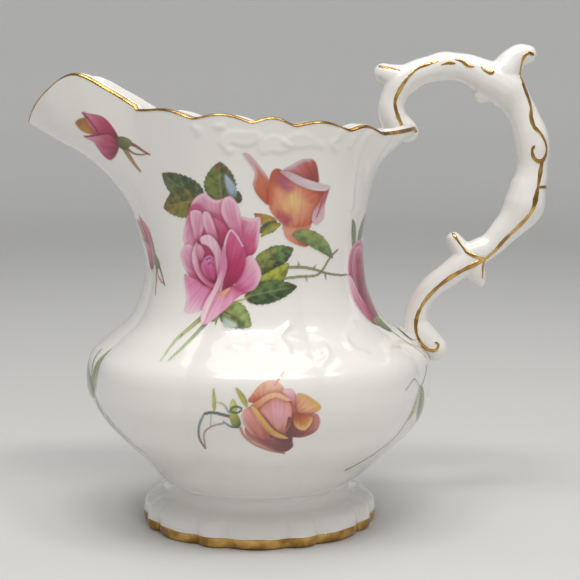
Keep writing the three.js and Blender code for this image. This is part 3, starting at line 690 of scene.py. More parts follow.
def paint_spray(art):
    """The main spray: both roses, their leaves, and the thorny stems."""
    pine, moss, olive = (46, 66, 34), (96, 112, 62), (112, 108, 32)
    brown, vein = (120, 66, 40), (150, 156, 104)
    art.move(-8.3, 69.2)
    art.stem([(-3.9, -13.5), (-7.5, -16.5), (-10.4, -18.9), (-13.6, -23)], 1.1, 0.3, (150, 150, 84),
             (188, 204, 146))
    art.stem([(-3.5, -15.2), (-7.4, -19.1), (-11.6, -22.8)], 0.9, 0.4, (110, 132, 96), (176, 200, 132))
    art.stem([(-9, -17.8), (-9.6, -18.8)], 0.35, 0.1, moss, moss)
    art.leaf((-4, 14), (-14, 19.4), 6.2, 0.6, pine, moss, vein, (80, 74, 40))
    art.leaf((-5.2, 13), (-13.8, 11.2), 7.2, -0.4, (70, 78, 26), (138, 128, 40), (168, 156, 84), brown)
    art.leaf((3.4, 12.8), (4.2, 15.6), 3.6, 0.4, (64, 72, 34), olive, vein, None, 4)
    art.leaf((0.6, 13), (0, 22.3), 7.6, 0.4, (58, 74, 28), (112, 122, 44), vein, brown)
    art.petal([(1.2, 19.4), (3.4, 17), (3.8, 14.6), (2.4, 14.2), (1.4, 16.6)], (3.4, 14), (1.4, 20),
              (122, 142, 150), (158, 176, 192), (172, 188, 204), cast=0, soft=0.35)
    art.leaf((9.6, -2.8), (16.9, 2.2), 5.6, 0.7, (40, 58, 26), (104, 150, 66), vein, (84, 60, 34), 7)
    art.leaf((8.4, -3.6), (13.2, 2.4), 4.6, 0.3, (74, 84, 34), (146, 150, 66), vein)
    art.leaf((6.4, -8.4), (15.9, -1.2), 4.8, -0.9, (112, 118, 30), (176, 178, 60), (196, 196, 110))
    art.leaf((5.6, -9), (17.8, -6.8), 5.4, 0.2, (44, 66, 34), (94, 120, 62), vein, (70, 60, 30))
    art.stem([(3.6, -10), (5, -9.6), (6.4, -9)], 0.5, 0.4, (210, 180, 70), (170, 150, 60))
    art.leaf((-0.2, -12.4), (7.2, -15.4), 6, 0.8, (78, 98, 50), (150, 170, 98), (172, 186, 124), None, 6)
    art.petal([(0.6, -13.6), (3.2, -14.6), (3.8, -15.6), (1, -15.8)], (0, -14), (3.5, -15.6),
              (150, 160, 130), (176, 190, 176), (190, 200, 190), cast=0, soft=0.4)
    art.stem([(0.4, -12.2), (2.2, -12.9), (4.4, -14.4)], 0.5, 0.2, brown, brown)
    art.stem([(-0.4, -12.4), (-1.2, -15.2)], 0.55, 0.35, (110, 134, 90), moss)
    art.leaf((-0.6, -12.4), (-2.2, -14.8), 2, 0, moss, (150, 166, 110), vein, None, 3)
    thorny = (126, 142, 96)
    art.stem([(14.5, -4.8), (18.4, -4.6), (22.4, -4.4), (23.7, -3.4), (25.6, -0.5), (27.4, 1.2)], 0.7, 0.45,
             thorny, (140, 96, 62))
    art.stem([(15.9, -2.3), (19, -2.4), (22, -3.1), (24.6, -4.1), (28.6, -5), (30.6, -5.1)], 0.8, 0.4,
             (124, 140, 76), brown)
    for root, point in (
        ((18.2, -2.2), (18, -0.9)), ((19.8, -4.5), (20.1, -5.8)), ((24.4, -4.2), (24.6, -5.7)),
        ((21.6, -2.9), (22.2, -1.9)),
    ):
        art.stem([root, point], 0.6, 0.12, thorny, brown)
    art.move(9.4, 83)
    art.leaf((-4.7, -5.5), (-9.9, -3.4), 2.8, 0.5, (150, 124, 40), (206, 170, 74), (190, 150, 60), brown, 5)
    art.leaf((-4.4, -5.7), (-9.2, -7.6), 2.7, 0.2, (60, 78, 58), (98, 118, 84), vein, None, 5)
    art.leaf((-3.7, -5.8), (-8.4, -8.9), 1.8, -0.5, (124, 122, 36), (170, 160, 58), (150, 140, 70), None, 1)
    paint_peach_bud(art)
    art.leaf((-1, -8.1), (8.6, -14.6), 3.7, 1.4, (84, 108, 54), (146, 158, 84), vein, (84, 116, 84), 5)
    art.move(-8.3, 69.2)
    paint_pink_rose(art)


def paint_lower_rose(art):
    """The apricot rose lying on its side on the bowl, with its long sepals, about 28 mm."""
    art.move(2.3, 34.7)
    amber, orchid = (218, 168, 84), (222, 164, 174)
    clay, brick, plum = (196, 108, 84), (166, 78, 66), (110, 40, 48)
    steel, slate = (66, 88, 92), (110, 138, 146)
    art.stem([(-13.6, 0.9), (-12, 1.3), (-9.4, 0.9), (-7.2, 0.4)], 0.7, 0.8, steel, (60, 76, 62))
    art.stem([(-14, 0.4), (-15, -2.2), (-15, -5.5), (-13.8, -7.9)], 0.55, 0.6, slate, (112, 60, 50))
    art.stem([(-13.8, -7.3), (-13.8, -3.7), (-12, -2), (-9.4, -1.1)], 0.3, 0.5, (140, 96, 80),
             (176, 146, 132))
    art.stem([(-12.3, -2), (-12.2, 0.8)], 0.2, 0.2, slate, slate)
    art.stem([(-9.4, -0.7), (-7.7, -1.8), (-6.1, -1.8)], 0.4, 0.7, slate, steel)
    art.stem([(-11, 3.7), (-9.4, 3.3), (-8.1, 1.5)], 0.3, 0.5, (176, 186, 120), (140, 150, 78))
    art.leaf((-11.4, 1.4), (-11.6, 7), 0.9, 0, (160, 164, 70), (200, 202, 116), (190, 190, 100), None, 1)
    art.leaf((-7, 1.2), (-7.2, 4.6), 1.7, 0, (176, 176, 84), (214, 214, 118), (200, 200, 110), None, 1)
    art.petal([(-8, 1), (-7, 1.9), (-6, 0.8), (-5.4, -1), (-6.2, -2.2), (-7.6, -1.2)], (-5.5, -1), (-8, 1),
              (62, 80, 46), (140, 144, 52), (178, 178, 72))
    art.stem([(-5.3, 2.5), (-6.3, 2.9), (-7.5, 2.5), (-7.7, 1.8), (-6.2, 1.5), (-5.3, 2.1)], 0.55, 0.5,
             steel, (62, 82, 56))
    art.petal([(-3.7, 3.9), (-2.8, 5.9), (-0.7, 8.1), (2.2, 8.5), (4.4, 6.6), (5, 4.2), (1.1, 3.7)], (0, 4),
              (1, 8.6), clay, (220, 160, 132), (232, 192, 172))
    art.petal([(-4.6, 1.6), (-2.4, 3.4), (1.5, 5.2), (5, 5), (7.6, 4.6), (9, 1.4), (8.4, -1), (6.4, -3.6),
               (5.6, -6.8), (2, -6.6), (-2.2, -4.6), (-4.6, -1.4)], (3, -6), (2, 5), plum, brick,
              (204, 128, 104))
    art.stem([(2.2, 7.7), (3.3, 9.2), (4.1, 10.1)], 0.6, 0.3, (220, 160, 134), (226, 180, 156))
    art.petal([(3.7, 6.4), (5.9, 6.6), (7.2, 4.6), (7, 2.8), (5.5, 4.2)], (6.8, 3), (4.4, 6.6), clay,
              orchid, (230, 190, 196))
    art.petal([(7, 5.3), (8.3, 5.5), (10.3, 4.4), (12.5, 2.4), (11.6, 1.1), (8.8, 0.7), (7.2, 1.8)],
              (7.4, 1.6), (11.6, 4.4), (200, 122, 92), (224, 170, 128), (220, 172, 84), amber, 0.3)
    art.petal([(6.1, 0.7), (7.7, 0.6), (10.3, 0.9), (11.8, 0.4), (12.3, -1.5), (11.2, -3.7), (8.5, -4.8),
               (6.1, -4.6), (4.6, -3.7), (4.6, -2), (5.5, -0.7)], (6, -3), (12, 0), plum, brick,
              (202, 128, 122))
    art.petal([(6.4, 0.8), (8.5, 0.6), (10.4, 0.4), (10.4, -1.3), (9, -3), (7.5, -2.7), (6.3, -1.2)],
              (7.6, 0.4), (8.6, -3), (176, 78, 34), (208, 132, 54), (226, 180, 96), (232, 190, 120), 0.35)
    art.petal([(7.4, 0.4), (8.8, 0.3), (9, -1.1), (8, -1.6)], (7.5, 0.4), (9, -1.6), (150, 52, 28),
              (190, 96, 34), (214, 140, 50), cast=0.2)
    art.petal([(-4.6, -2), (-2.8, -3.4), (0.7, -4.4), (4.2, -4.4), (5.9, -5.5), (6.1, -7.2), (4.2, -8.5),
               (1.1, -7.6), (-2.2, -5.9), (-4.2, -4.1)], (4, -6), (-4, -3), plum, (146, 70, 66),
              (186, 112, 100), (196, 124, 100), 0.3)
    art.stem([(-5.6, -2), (-4.9, -3.8), (-2.8, -6), (1, -7.9), (4.2, -8.8)], 0.7, 0.5, (200, 124, 96),
             (150, 72, 58))
    art.petal([(-4.8, 2.2), (-3.3, 2.8), (-2, 1.5), (-0.7, -1.1), (0.9, -3.3), (0.4, -5), (-2.8, -3.9),
               (-4.6, -1.7), (-5.3, 0.7)], (0, -5), (-4, 2.5), brick, (208, 124, 112), (222, 154, 150),
              (226, 170, 160), 0.35)
    art.petal([(-0.7, 3.1), (1.1, 4.8), (3.3, 5), (5.5, 3.5), (5.9, 1.1), (5.5, -1.5), (4.2, -3.5),
               (2.2, -2.2), (0.4, 0.2), (-1.1, 1.9)], (3, -4), (3, 5), clay, (220, 152, 146),
              (224, 164, 178), heart=(2.9, 1.6, 4.6))
    art.petal([(-3.7, 2.8), (-1.5, 4.4), (0.7, 5.7), (3.1, 5.9), (5.7, 4.2), (4.6, 4.1), (2.4, 4.9),
               (0.2, 4.1), (-1.5, 2.7)], (0, 3), (1, 6), (214, 142, 104), (226, 172, 132), (232, 186, 150))
    art.petal([(-3.3, 3), (-2, 2.5), (-0.2, 0.1), (2, -2.7), (4.2, -4.1), (5.1, -4.9), (3.1, -4.7),
               (0.7, -3.4), (-1.1, -0.7), (-2.4, 1.3)], (0, -3), (2, -1), (184, 122, 54), amber,
              (228, 188, 110))
    art.stem([(5.4, 0), (4.8, -2.2), (4.4, -3.8)], 0.9, 0.3, plum, brick)
    art.leaf((-4, 2.7), (-6.7, 7.2), 1.3, -0.2, (132, 140, 46), (184, 180, 78), (200, 190, 90),
             (214, 140, 112), 1)


def paint_bud(art):
    """A crimson bud with a gold outer petal and curling sepals, about 10 mm long, pointing to the left."""
    wine, rose, pink = (124, 20, 48), (172, 54, 86), (204, 118, 140)
    art.stem([(5.5, -2.2), (7, -5), (8.5, -7.2), (10, -9)], 1.5, 0.55, (124, 120, 52), (178, 112, 62))
    art.stem([(6.5, -2), (9, -3), (11, -4.2), (12.6, -5)], 1.0, 0.4, (120, 70, 44), (150, 66, 44))
    art.stem([(6.4, -3.2), (8.6, -4.8), (10.6, -5), (12, -4.8)], 0.6, 0.35, (140, 90, 60), (150, 70, 46))
    art.petal([(-6.2, 2.4), (-4.8, 3.5), (-2.9, 3.5), (-1.2, 1.4), (-0.3, -0.7), (-2.4, -0.3), (-4.6, 0.5)],
              (-1, 0), (-6, 3), (176, 122, 40), (186, 126, 38), (160, 96, 26))
    art.petal([(-4.1, 4.9), (-2.4, 4.7), (1, 3.9), (3.4, 1.5), (4.9, -1.4), (3.8, -2.4), (1, -1.2),
               (-0.7, -0.6), (-2.4, 1.4)], (4.8, -1.6), (-3.4, 4), wine, rose, pink, cast=0.6)
    art.stem([(-4.1, 4.8), (-1.6, 2), (0, -0.4)], 0.5, 0.4, wine, wine)
    art.petal([(-4.1, -0.8), (-0.5, -0.5), (2.6, 0), (4.7, -1.8), (4.7, -3.8), (3.4, -5.9), (1.9, -6.4),
               (0, -4.7), (-1.7, -2.2)], (4.6, -3), (-2.4, -1), wine, (182, 70, 104), (210, 136, 156))
    art.stem([(-4.1, -0.8), (-0.6, -0.5), (2.4, -0.1), (4, -1.2)], 0.45, 0.4, wine, wine)
    art.petal([(4.5, -0.9), (6.7, -1), (8.2, -2.3), (6.5, -3.9), (4.9, -3.3)], (5, -3.5), (7, -1),
              (66, 72, 40), (98, 104, 58), (126, 130, 80))


def paint_handle_rose(art):
    """The crimson rosebud on the neck beside the handle, with a leaf above it."""
    wine, rose, pink = (122, 14, 44), (168, 34, 78), (200, 90, 128)
    art.leaf((-5, 6), (-8, 14), 3.2, -0.5, (62, 84, 38), (118, 134, 66), (150, 160, 100))
    art.leaf((-2, 7), (3, 15), 3.8, 0.6, (58, 78, 36), (112, 128, 58), (150, 160, 100))
    art.petal([(-8.5, 4), (-6, 7.4), (-1, 8.4), (4.5, 6.6), (7.6, 1.6), (6.4, -5), (2, -11), (-3, -12.4),
               (-7, -8), (-9, -2)], (-1, -12), (0, 8), wine, rose, pink, (226, 156, 184))
    art.petal([(-5.5, 5), (-1, 7), (3.8, 4.6), (4.6, -1), (1.5, -6), (-3, -6), (-6.2, -0.5)], (0, -6),
              (-1, 7), wine, rose, (206, 96, 138), (224, 150, 180))
    art.petal([(-3, 3.6), (0.6, 4.6), (2.6, 1), (0.4, -3.2), (-2.8, -2.4)], (0, -3), (0, 5), wine,
              (160, 34, 76), rose, pink)
    art.petal([(-9, 0), (-6.4, -1), (-2.5, -6.4), (-1.6, -12.4), (-5.6, -11), (-8.8, -5.6)], (-2, -11),
              (-8, -1), rose, pink, (230, 170, 194), (238, 196, 212))
    art.petal([(8, 0.6), (5, -0.6), (1.6, -6.6), (1.4, -11.6), (5, -8), (7.8, -3.4)], (2, -11), (7, 0),
              wine, rose, pink, (226, 156, 184))
    art.petal([(-3, -11.5), (0, -10.6), (2.4, -11), (1, -13.8), (-1.6, -14)], (0, -14), (0, -11),
              (60, 76, 38), (96, 112, 56), (130, 140, 80))
    art.stem([(-0.2, -13), (0.6, -17), (2.6, -21)], 0.9, 0.5, (104, 116, 66), (150, 170, 110))


def paint_bowl_leaves(art):
    """A pair of leaves and a stem on the shoulder of the bowl, under the spout."""
    art.stem([(-3, 8), (-1, 1), (2, -4), (8.6, -10.5)], 0.7, 0.4, (110, 120, 80), (120, 60, 40))
    art.leaf((-0.8, 0.4), (1.2, 9), 3.6, -0.5, (78, 104, 44), (142, 160, 84), (170, 180, 120))
    art.leaf((-0.4, -0.6), (-7, 5.4), 4.2, 0.6, (60, 76, 36), (120, 130, 66), (150, 160, 100),
             (110, 70, 40))
    art.leaf((-0.2, -1), (4.4, -12), 4.6, -0.7, (52, 64, 30), (108, 116, 60), (150, 150, 96), (90, 60, 36))
    art.stem([(0.6, -0.6), (4, -4), (8, -8)], 0.45, 0.25, (110, 54, 40), (96, 50, 36))


def paint_bowl_stems(art):
    """A bent stem with two long leaves on the bowl under the handle."""
    art.stem([(-12, 5), (-7, 6.6), (-2, 4), (4, 8)], 0.35, 0.5, (150, 172, 176), (110, 130, 110))
    art.leaf((-2, 4), (-8.6, -3.6), 3.6, 0.6, (116, 110, 42), (190, 176, 78), (160, 150, 70), (130, 84, 40))
    art.leaf((-2, 4), (3.6, -6), 4, -0.6, (66, 84, 38), (130, 142, 70), (160, 166, 104))
    art.stem([(-8, -3), (-10.5, -8), (-14.5, -13), (-18, -16.4)], 0.5, 0.8, (150, 120, 60), (120, 80, 46))


def select(*pieces):
    """Selects these pieces alone, with the first one active."""
    bpy.ops.object.select_all(action="DESELECT")
    for piece in pieces:
        piece.select_set(True)
    bpy.context.view_layer.objects.active = pieces[0]


def cut(kind, parts, unwanted):
    """Deletes those of the active piece's faces or vertices that are unwanted."""
    bpy.ops.object.mode_set(mode="EDIT")
    bpy.ops.mesh.select_mode(type=kind)
    bpy.ops.mesh.select_all(action="DESELECT")
    bpy.ops.object.mode_set(mode="OBJECT")
    for part in parts:
        part.select = unwanted(part)
    bpy.ops.object.mode_set(mode="EDIT")
    bpy.ops.mesh.delete(type=kind)
    bpy.ops.object.mode_set(mode="OBJECT")


def modify(piece, kind, **settings):
    """Adds a modifier and applies it."""
    select(piece)
    made = piece.modifiers.new(kind.lower(), kind)
    for key, value in settings.items():
        setattr(made, key, value)
    bpy.ops.object.modifier_apply(modifier=made.name)


printed_china = glaze("printed_china", printed="print")
film_lift = 0.055
film_thickness = 0.04
print_fineness = 0.22


def transfer(name, facing, span, low, high, paint, origin):
    """Lays a print between two directions and two heights, painted as seen square on from facing."""
    heights = meridian(sum(span) / 2, np.linspace(0, 1, 400))
    reach = np.interp((low + high) / 2, heights[:, 1], heights[:, 0])
    shares = np.interp([low, high], heights[:, 1], np.linspace(0, 1, 400))
    tall = (shares[1] - shares[0]) * np.hypot(*np.diff(heights, axis=0).T).sum()
    rows = int(tall / print_fineness)
    across = np.linspace(*span, int(math.radians(span[1] - span[0]) * reach / print_fineness) + 1)
    on_wall, seen = [], []
    for degrees in across:
        outline = inward(meridian(degrees, np.linspace(*shares, rows + 1), 1), -film_lift)
        on_wall.append(stood(outline, degrees))
        seen.append(outline * (math.sin(math.radians(degrees - facing)), 1))
    piece, place = sheet(name, np.array(on_wall) * MM)
    art = Painting(*np.array(seen)[place].T)
    art.move(*origin)
    paint(art)
    tint = piece.data.color_attributes.new(name="print", type="FLOAT_COLOR", domain="POINT")
    tint.data.foreach_set("color", np.hstack([art.colour, art.cover[:, None]]).ravel())
    bare = art.cover < 0.01
    cut("FACE", piece.data.polygons, lambda face: all(bare[v] for v in face.vertices))
    bpy.ops.object.shade_smooth()
    modify(piece, "SOLIDIFY", thickness=film_thickness * MM, offset=-1)
    bpy.ops.object.shade_smooth_by_angle(angle=math.radians(40))
    piece.data.materials.append(printed_china)
    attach(piece, "root")


for name, facing, span, low, high, paint, origin in (
    ("front_spray", -90, (-150, -34), 43, 93.5, paint_spray, (0, 0)),
    ("back_spray", 90, (30, 146), 43, 93.5, paint_spray, (0, 0)),
    ("front_lower_rose", -90, (-112, -67), 22, 47, paint_lower_rose, (0, 0)),
    ("back_lower_rose", 90, (68, 113), 22, 47, paint_lower_rose, (0, 0)),
    ("front_spout_bud", -90, (-179, -140), 86, 107, paint_bud, (-37.8, 97.9)),
    ("back_spout_bud", 90, (140, 179), 86, 107, paint_bud, (37.8, 97.5, 180)),
    ("front_neck_bud", -154, (-188, -124), 54, 82, paint_bud, (-2.6, 71.6, -25)),
    ("back_neck_bud", 156, (128, 184), 58, 80, paint_bud, (3, 67, -118)),
    ("front_handle_rose", -15, (-56, 26), 40, 80, paint_handle_rose, (0, 63.5)),
    ("front_bowl_leaves", -158, (-184, -132), 18, 50, paint_bowl_leaves, (0, 35, 0, 1.25)),
    ("back_bowl_leaves", 28, (8, 48), 22, 48, paint_bowl_leaves, (0, 36)),
    ("front_bowl_stems", -20, (-50, 4), 14, 44, paint_bowl_stems, (0, 33)),
):
    transfer(name, facing, span, low, high, paint, origin)

# The foot: cast apart and luted under the bowl. It flares to a scalloped edge with a wide lobe
# under each panel and a narrow one between, and it is hollow underneath, with a flat ring to
# stand on. Its section has (out, height, share of the scallops' dent).
foot_radius = foot_high.x / MM - axis_x - 0.1
foot_scale = foot_radius / 29.3
foot_dent = 1.3
foot_cusps = [45 * panel + side * 14.5 for panel in range(5) for side in (-1, 1)]
foot_profile = [
    (24.9, 0.25, 0), (25.6, 0, 0), (28.0, 0, 1), (28.8, 0.12, 1), (29.25, 0.6, 1), (29.4, 1.8, 1),
    (29.4, 3.2, 1), (29.2, 4.4, 1), (28.8, 5.5, 1), (28.1, 6.2, 0.9), (27, 6.7, 0.7), (25.7, 7.2, 0.45),
    (24.5, 7.7, 0.25), (23.7, 8.5, 0.1), (23.2, 9.4, 0), (22.9, 10.1, 0), (22, 10.2, 0), (20, 9.3, 0),
    (19.2, 7.5, 0), (20, 5.2, 0), (22.6, 2.6, 0), (24.2, 1.2, 0), (24.9, 0.25, 0),
]


def foot_outline(degrees):
    """The foot's closed section in one direction."""
    dent = foot_dent * (1 - scallop(degrees, foot_cusps))
    section = [(out * foot_scale - dent * share, height) for out, height, share in foot_profile]
    section = along(section, np.linspace(0, 1, 90))
    section[:, 1] = np.maximum(section[:, 1], 0)
    return section


foot = wrap("cast_foot", 320, foot_outline)
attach(foot, "root")
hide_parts("pedestal_foot")
foot.data.materials.append(china)

# The slip that lutes the foot on: the same bone china let down with water, run round the
# joint and wiped smooth into the waist with a damp sponge.
def luting_outline(degrees):
    """A small round section of slip, the same in all degrees."""
    turn = np.linspace(0, 2 * math.pi, 17)
    return np.stack([22.75 + 0.5 * np.cos(turn), waist_height + 1.9 + 0.7 * np.sin(turn)], axis=1)


foot_slip = wrap("foot_slip", 256, luting_outline)
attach(foot_slip, "root")
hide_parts("foot_luting")
foot_slip.data.materials.append(china)

# The gold on the edges: liquid bright gold brushed round the rim and round the foot, and fired
# last. It is thin and mirror-like, with the brush's drag in it. Its base colour is painted darker
# than gold's own, down to a deep brown in patches, as painted reflection of dark surroundings.
gold, shader, place = material("fired_gold")
drag = place.noise(0.0011, 4)
tone_and_reflection_patches = place.noise(0.005, 3)
# Painted reflection: the base colour runs from deep brown to a dulled gold, darker than real gold.
wire(shader, Base_Color=tone_and_reflection_patches.rise(0.35, 0.65).mix((0.36, 0.19, 0.05), (0.78, 0.49, 0.15)), Metallic=1.0)
wire(shader, Roughness=0.14 + drag.rise(0.4, 0.75) * 0.22)
wire(shader, Normal=place.node("ShaderNodeBump", Height=drag + tone_and_reflection_patches, Strength=0.4, Distance=0.0002))


def rim_outline(degrees):
    """The gold over the rim's rounded edge, as a closed section in the wall's own directions."""
    below, crest = meridian(degrees, [0.996, 1])
    rise = (crest - below) / np.linalg.norm(crest - below)
    outward = np.array([rise[1], -rise[0]])
    section = [
        (0.07, -0.2), (0.08, -0.04), (-0.15, 0.13), (-0.5, 0.24), (-0.85, 0.24), (-0.88, 0.1), (-0.5, 0.06),
        (-0.3, -0.05), (-0.05, -0.2), (0.07, -0.2),
    ]
    return np.array([crest + a * outward + b * rise for a, b in section])


rim_gold = wrap("rim_gold", 400, rim_outline)
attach(rim_gold, "root")
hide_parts("rim_gilding")
rim_gold.data.materials.append(gold)


def band_outline(degrees):
    """The gold band round the foot's edge. Its upper line wavers with the scallops and the brush."""
    dent = foot_dent * (1 - scallop(degrees, foot_cusps))
    top = 2.45 + 0.3 * scallop(degrees, foot_cusps) + 0.08 * math.sin(math.radians(degrees) * 23)
    side = [(28.3, 0.03), (28.86, 0.12), (29.3, 0.6), (29.46, 1.6), (29.46, top - 0.1), (29.38, top)]
    outer = along(side, np.linspace(0, 1, 14))
    inner = outer[::-1] - (0.16, 0)
    closed = np.vstack([outer, inner, outer[:1]])
    closed[:, 0] = closed[:, 0] * foot_scale - dent
    return closed


foot_gold = wrap("foot_gold", 320, band_outline)
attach(foot_gold, "root")
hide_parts("foot_gilding")
foot_gold.data.materials.append(gold)

# The handle: cast in a two-part mould as one scroll of bone china, with a leaf tip at the front,
# a thumb scroll at the back, spurs inside and out, and a curled tail. Its joints are sponged
# round where it meets the rim and the bowl.
handle_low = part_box("handle")[0]
corner_x, corner_z = handle_low.x / MM - 1.1, handle_low.z / MM
# (across, up, thickness from the middle) in mm, from the lower front corner of the handle.
handle_strokes = [
    [
        (6.3, 56.4, 3.1), (5.5, 58.6, 3.4), (4.9, 61.4, 3.4), (5.8, 64.5, 3.4), (7.3, 67.3, 3.8),
        (10.3, 69.2, 3.5), (14.1, 70.6, 3.4), (17.5, 71.4, 3.5), (21, 71.3, 3.5), (24.4, 70.5, 3.7),
        (28.6, 68.5, 4.4), (33.3, 65.9, 4.7), (36.1, 62.2, 3.9), (38.1, 58.4, 3.9), (39.4, 54.9, 4.3),
        (40.2, 51.5, 4.3), (40.3, 47.9, 3.9), (40, 43.8, 4.1), (39.2, 41, 4.6), (38.5, 37.4, 5.1),
        (37.2, 34.9, 4.7), (35.1, 32.4, 3.9), (32.3, 29.2, 3.3), (30.1, 27, 3.1), (26.8, 25.2, 3.4),
        (23.4, 22.7, 3.4), (19.8, 19.7, 3.1), (16.2, 17.1, 2.9), (13.4, 14, 2.8), (11.8, 10.4, 2.8),
        (11.6, 7.2, 3), (11.6, 3.2, 3.5),
    ],
    [(9.5, 68.3, 3.3), (7, 68.6, 3.2), (4.7, 69, 2.9), (2.8, 69.8, 2.4)],
    [(31, 67.6, 4), (33, 70.2, 3.8), (34.8, 72.6, 3.3), (36.6, 74, 2.9), (38.4, 74.2, 2.4)],
    [(31.5, 66.4, 3.7), (29.4, 65.6, 2.9), (27, 64.4, 2)],
    [(27.1, 64.2, 1.9), (29.8, 64.6, 2), (32, 63.8, 2.5)],
    [(24.3, 23.8, 3.3), (22.5, 26.2, 2.5), (20.9, 28.5, 1.9)],
    [(25.6, 22.4, 3.3), (27, 19.4, 2.4), (27.9, 17.6, 1.3)],
    [(12.6, 5.4, 3.3), (14.7, 2.9, 3.4), (16.5, 0.9, 3.3)],
    [(6, 58, 3.1), (8, 56.7, 2.7), (9.6, 55.5, 2.2), (10, 55, 1.9)],
    [(7.6, 54.7, 2), (9, 54.6, 1.9), (9.9, 54.9, 1.9)],
]
handle_depth = 1.14
handle_tubes = []
for stroke in handle_strokes:
    smooth_stroke = along(stroke, np.linspace(0, 1, 8 * len(stroke)))
    bpy.ops.curve.primitive_nurbs_path_add()
    tube = bpy.context.object
    tube.data.splines.clear()
    spline = tube.data.splines.new("POLY")
    spline.points.add(len(smooth_stroke) - 1)
    for point, (across, up, thick) in zip(spline.points, smooth_stroke):
        point.co = ((corner_x + across) * MM, 0, (corner_z + up) * MM, 1)
        point.radius = thick
    tube.data.bevel_depth = MM
    tube.data.bevel_resolution = 6
    tube.data.use_fill_caps = True
    bpy.ops.object.convert(target="MESH")
    handle_tubes.append(bpy.context.object)
    for across, up, thick in (smooth_stroke[0], smooth_stroke[-1]):
        spot = ((corner_x + across) * MM, 0, (corner_z + up) * MM)
        bpy.ops.mesh.primitive_uv_sphere_add(
            segments=24, ring_count=14, radius=thick * MM, location=spot
        )
        handle_tubes.append(bpy.context.object)
select(*handle_tubes)
bpy.ops.object.join()
bpy.ops.object.transform_apply(location=True, rotation=True, scale=True)
handle = handle_tubes[0]
handle.name = "cast_handle"
for v in handle.data.vertices:
    v.co.y *= handle_depth
modify(handle, "REMESH", mode="VOXEL", voxel_size=0.33 * MM, use_smooth_shade=True)
modify(handle, "SMOOTH", factor=0.6, iterations=12)
skin = np.zeros(len(handle.data.vertices) * 3)
out = skin.copy()
handle.data.vertices.foreach_get("co", skin)
handle.data.vertices.foreach_get("normal", out)
skin, out = skin.reshape(-1, 3), out.reshape(-1, 3)
x, y, z = (skin / MM).T
lumps = np.sin(0.6 * x + 0.45 * z + 1) * np.sin(0.5 * z - 0.35 * x)
lumps = lumps + 0.5 * np.sin(0.9 * z + 0.8 * y) * np.sin(0.8 * x)
skin += out * (lumps * 0.07 * MM)[:, None]
handle.data.vertices.foreach_set("co", skin.ravel())
handle.data.update()
bpy.ops.object.shade_smooth()
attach(handle, "root")
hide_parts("handle")
handle.data.materials.append(china)

# The gold on the handle: lines drawn freehand with a long liner brush down both flanks, along
# the moulded ridges. (across, up, width) in mm from the handle's lower front corner.
gold_lines = {
    "shoulder": [
        [(3.4, 55.8, 0.9), (5.5, 55.5, 0.7), (7.6, 56.3, 1.2), (9.5, 55.9, 1), (11.3, 55.3, 1.1)],
        [(7.6, 56.3, 0.9), (6.2, 59.5, 0.9), (5.6, 62.5, 1), (7, 66, 0.95), (9.2, 69, 0.8), (11, 70.6, 0.5),
         (13.8, 71.8, 0.9), (16.3, 72.6, 0.3)],
        [(1.6, 71.3, 0.8), (4, 70.9, 0.55), (7, 70.2, 0.3)],
    ],
    "crown": [
        [(16.6, 71.5, 0.3), (18.4, 72, 0.9), (20.4, 71.8, 0.35)],
        [(20, 73, 0.3), (22, 72.3, 0.7), (23.4, 71.3, 0.9), (25, 71, 0.3)],
        [(26.4, 71.2, 0.3), (27.6, 70, 0.7), (29, 69.6, 1), (29.9, 70.6, 0.3)],
    ],
    "back": [
        [(39.8, 74, 0.9), (38.2, 74.4, 0.9), (37, 73.2, 0.7), (36.5, 71, 0.5), (36.6, 68.5, 0.6),
         (37.4, 66, 0.9), (38.4, 63.4, 1), (39, 61, 0.7), (39, 58.8, 1.1), (39.8, 56.4, 1.2),
         (41.4, 54.8, 0.7), (42.8, 52.4, 0.6), (43, 50, 0.7), (42, 48.2, 1.1), (40.6, 48.2, 1),
         (39.6, 49.4, 0.9), (39.4, 51, 0.8), (40, 52, 0.7)],
        [(42, 48.2, 0.9), (41.5, 45, 1.1), (41, 42, 0.8), (40.5, 39.5, 1.3), (39.5, 36, 1), (36.5, 32, 0.9),
         (33.5, 29, 0.95), (31, 26, 0.8), (28.5, 23.7, 0.9)],
        [(40.6, 41.6, 0.5), (42.4, 41.7, 0.8), (44, 41.5, 0.6)],
    ],
    "tail": [
        [(28.5, 23.7, 0.8), (26, 24.4, 0.8), (24, 25.4, 0.9), (22.6, 27, 0.5), (21.2, 29, 0.7),
         (20.4, 30.2, 0.8)],
        [(28.5, 23.7, 0.7), (28, 21.5, 0.5), (28, 18.7, 0.4)],
        [(28.5, 23.7, 1), (25.5, 22.3, 1.2), (20.8, 19.8, 1.1), (16.6, 16.6, 1), (13.6, 13.2, 0.95),
         (11.7, 9.4, 1), (11.4, 5.6, 0.9), (12.6, 2.8, 0.8), (14.6, 0.9, 0.9), (16.4, 0.9, 1.1),
         (17, 2.2, 0.7), (16, 3, 0.6)],
    ],
}


clear_of_handle = 20 * MM
gold_thickness = 0.11 * MM


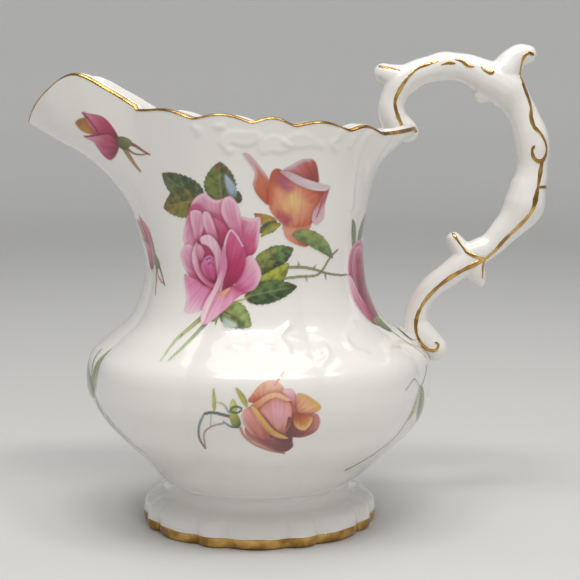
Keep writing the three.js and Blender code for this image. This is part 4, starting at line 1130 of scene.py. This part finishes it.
def brush_line(points, side):
    """A line of gold laid on one flank, uneven in width as the brush was pressed and lifted."""
    drawn = np.asarray(points, float)
    length = np.hypot(*np.diff(drawn[:, :2], axis=0).T).sum()
    steps = int(length / 0.28) + 4
    line = along(drawn, np.linspace(0, 1, steps + 1))
    ahead = np.gradient(line[:, :2], axis=0)
    ahead /= np.linalg.norm(ahead, axis=1)[:, None]
    reach = np.linspace(0, length, steps + 1)
    press = 0.88 + 0.12 * np.sin(reach * 0.9 + side) + 0.06 * np.sin(reach * 2.7)
    lift = np.clip(np.minimum(reach, length - reach) / 0.5, 0.02, 1) ** 0.5
    half = 0.5 * line[:, 2] * press * lift
    bpy.ops.mesh.primitive_grid_add(x_subdivisions=steps, y_subdivisions=4, size=2)
    piece = bpy.context.object
    for v in piece.data.vertices:
        step = round((v.co.x + 1) / 2 * steps)
        aside = v.co.y * half[step]
        across = line[step, 0] - ahead[step, 1] * aside
        up = line[step, 1] + ahead[step, 0] * aside
        v.co = ((corner_x + across) * MM, side * clear_of_handle, (corner_z + up) * MM)
    modify(
        piece, "SHRINKWRAP", target=handle, wrap_method="PROJECT", use_project_y=True, offset=0.03 * MM,
        use_positive_direction=side < 0, use_negative_direction=side > 0,
    )
    cut("VERT", piece.data.vertices, lambda v: abs(v.co.y) > 0.75 * clear_of_handle)
    weld(inside=False)
    modify(piece, "SOLIDIFY", thickness=gold_thickness, offset=0)
    bpy.ops.object.shade_smooth()
    return piece


for part, lines in gold_lines.items():
    for side, hand in ((-1, "near"), (1, "far")):
        drawn = [brush_line(points, side) for points in lines]
        select(*drawn)
        bpy.ops.object.join()
        drawn[0].name = f"{part}_gold_{hand}"
        drawn[0].data.materials.clear()
        drawn[0].data.materials.append(gold)
        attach(drawn[0], "root")
        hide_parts(f"handle_gilding_{part}_{hand}")

# The slip at the handle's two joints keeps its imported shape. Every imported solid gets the
# material of the real piece.
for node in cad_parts.values():
    node.data.materials.clear()
    node.data.materials.append(gold if "gilding" in node.name else china)
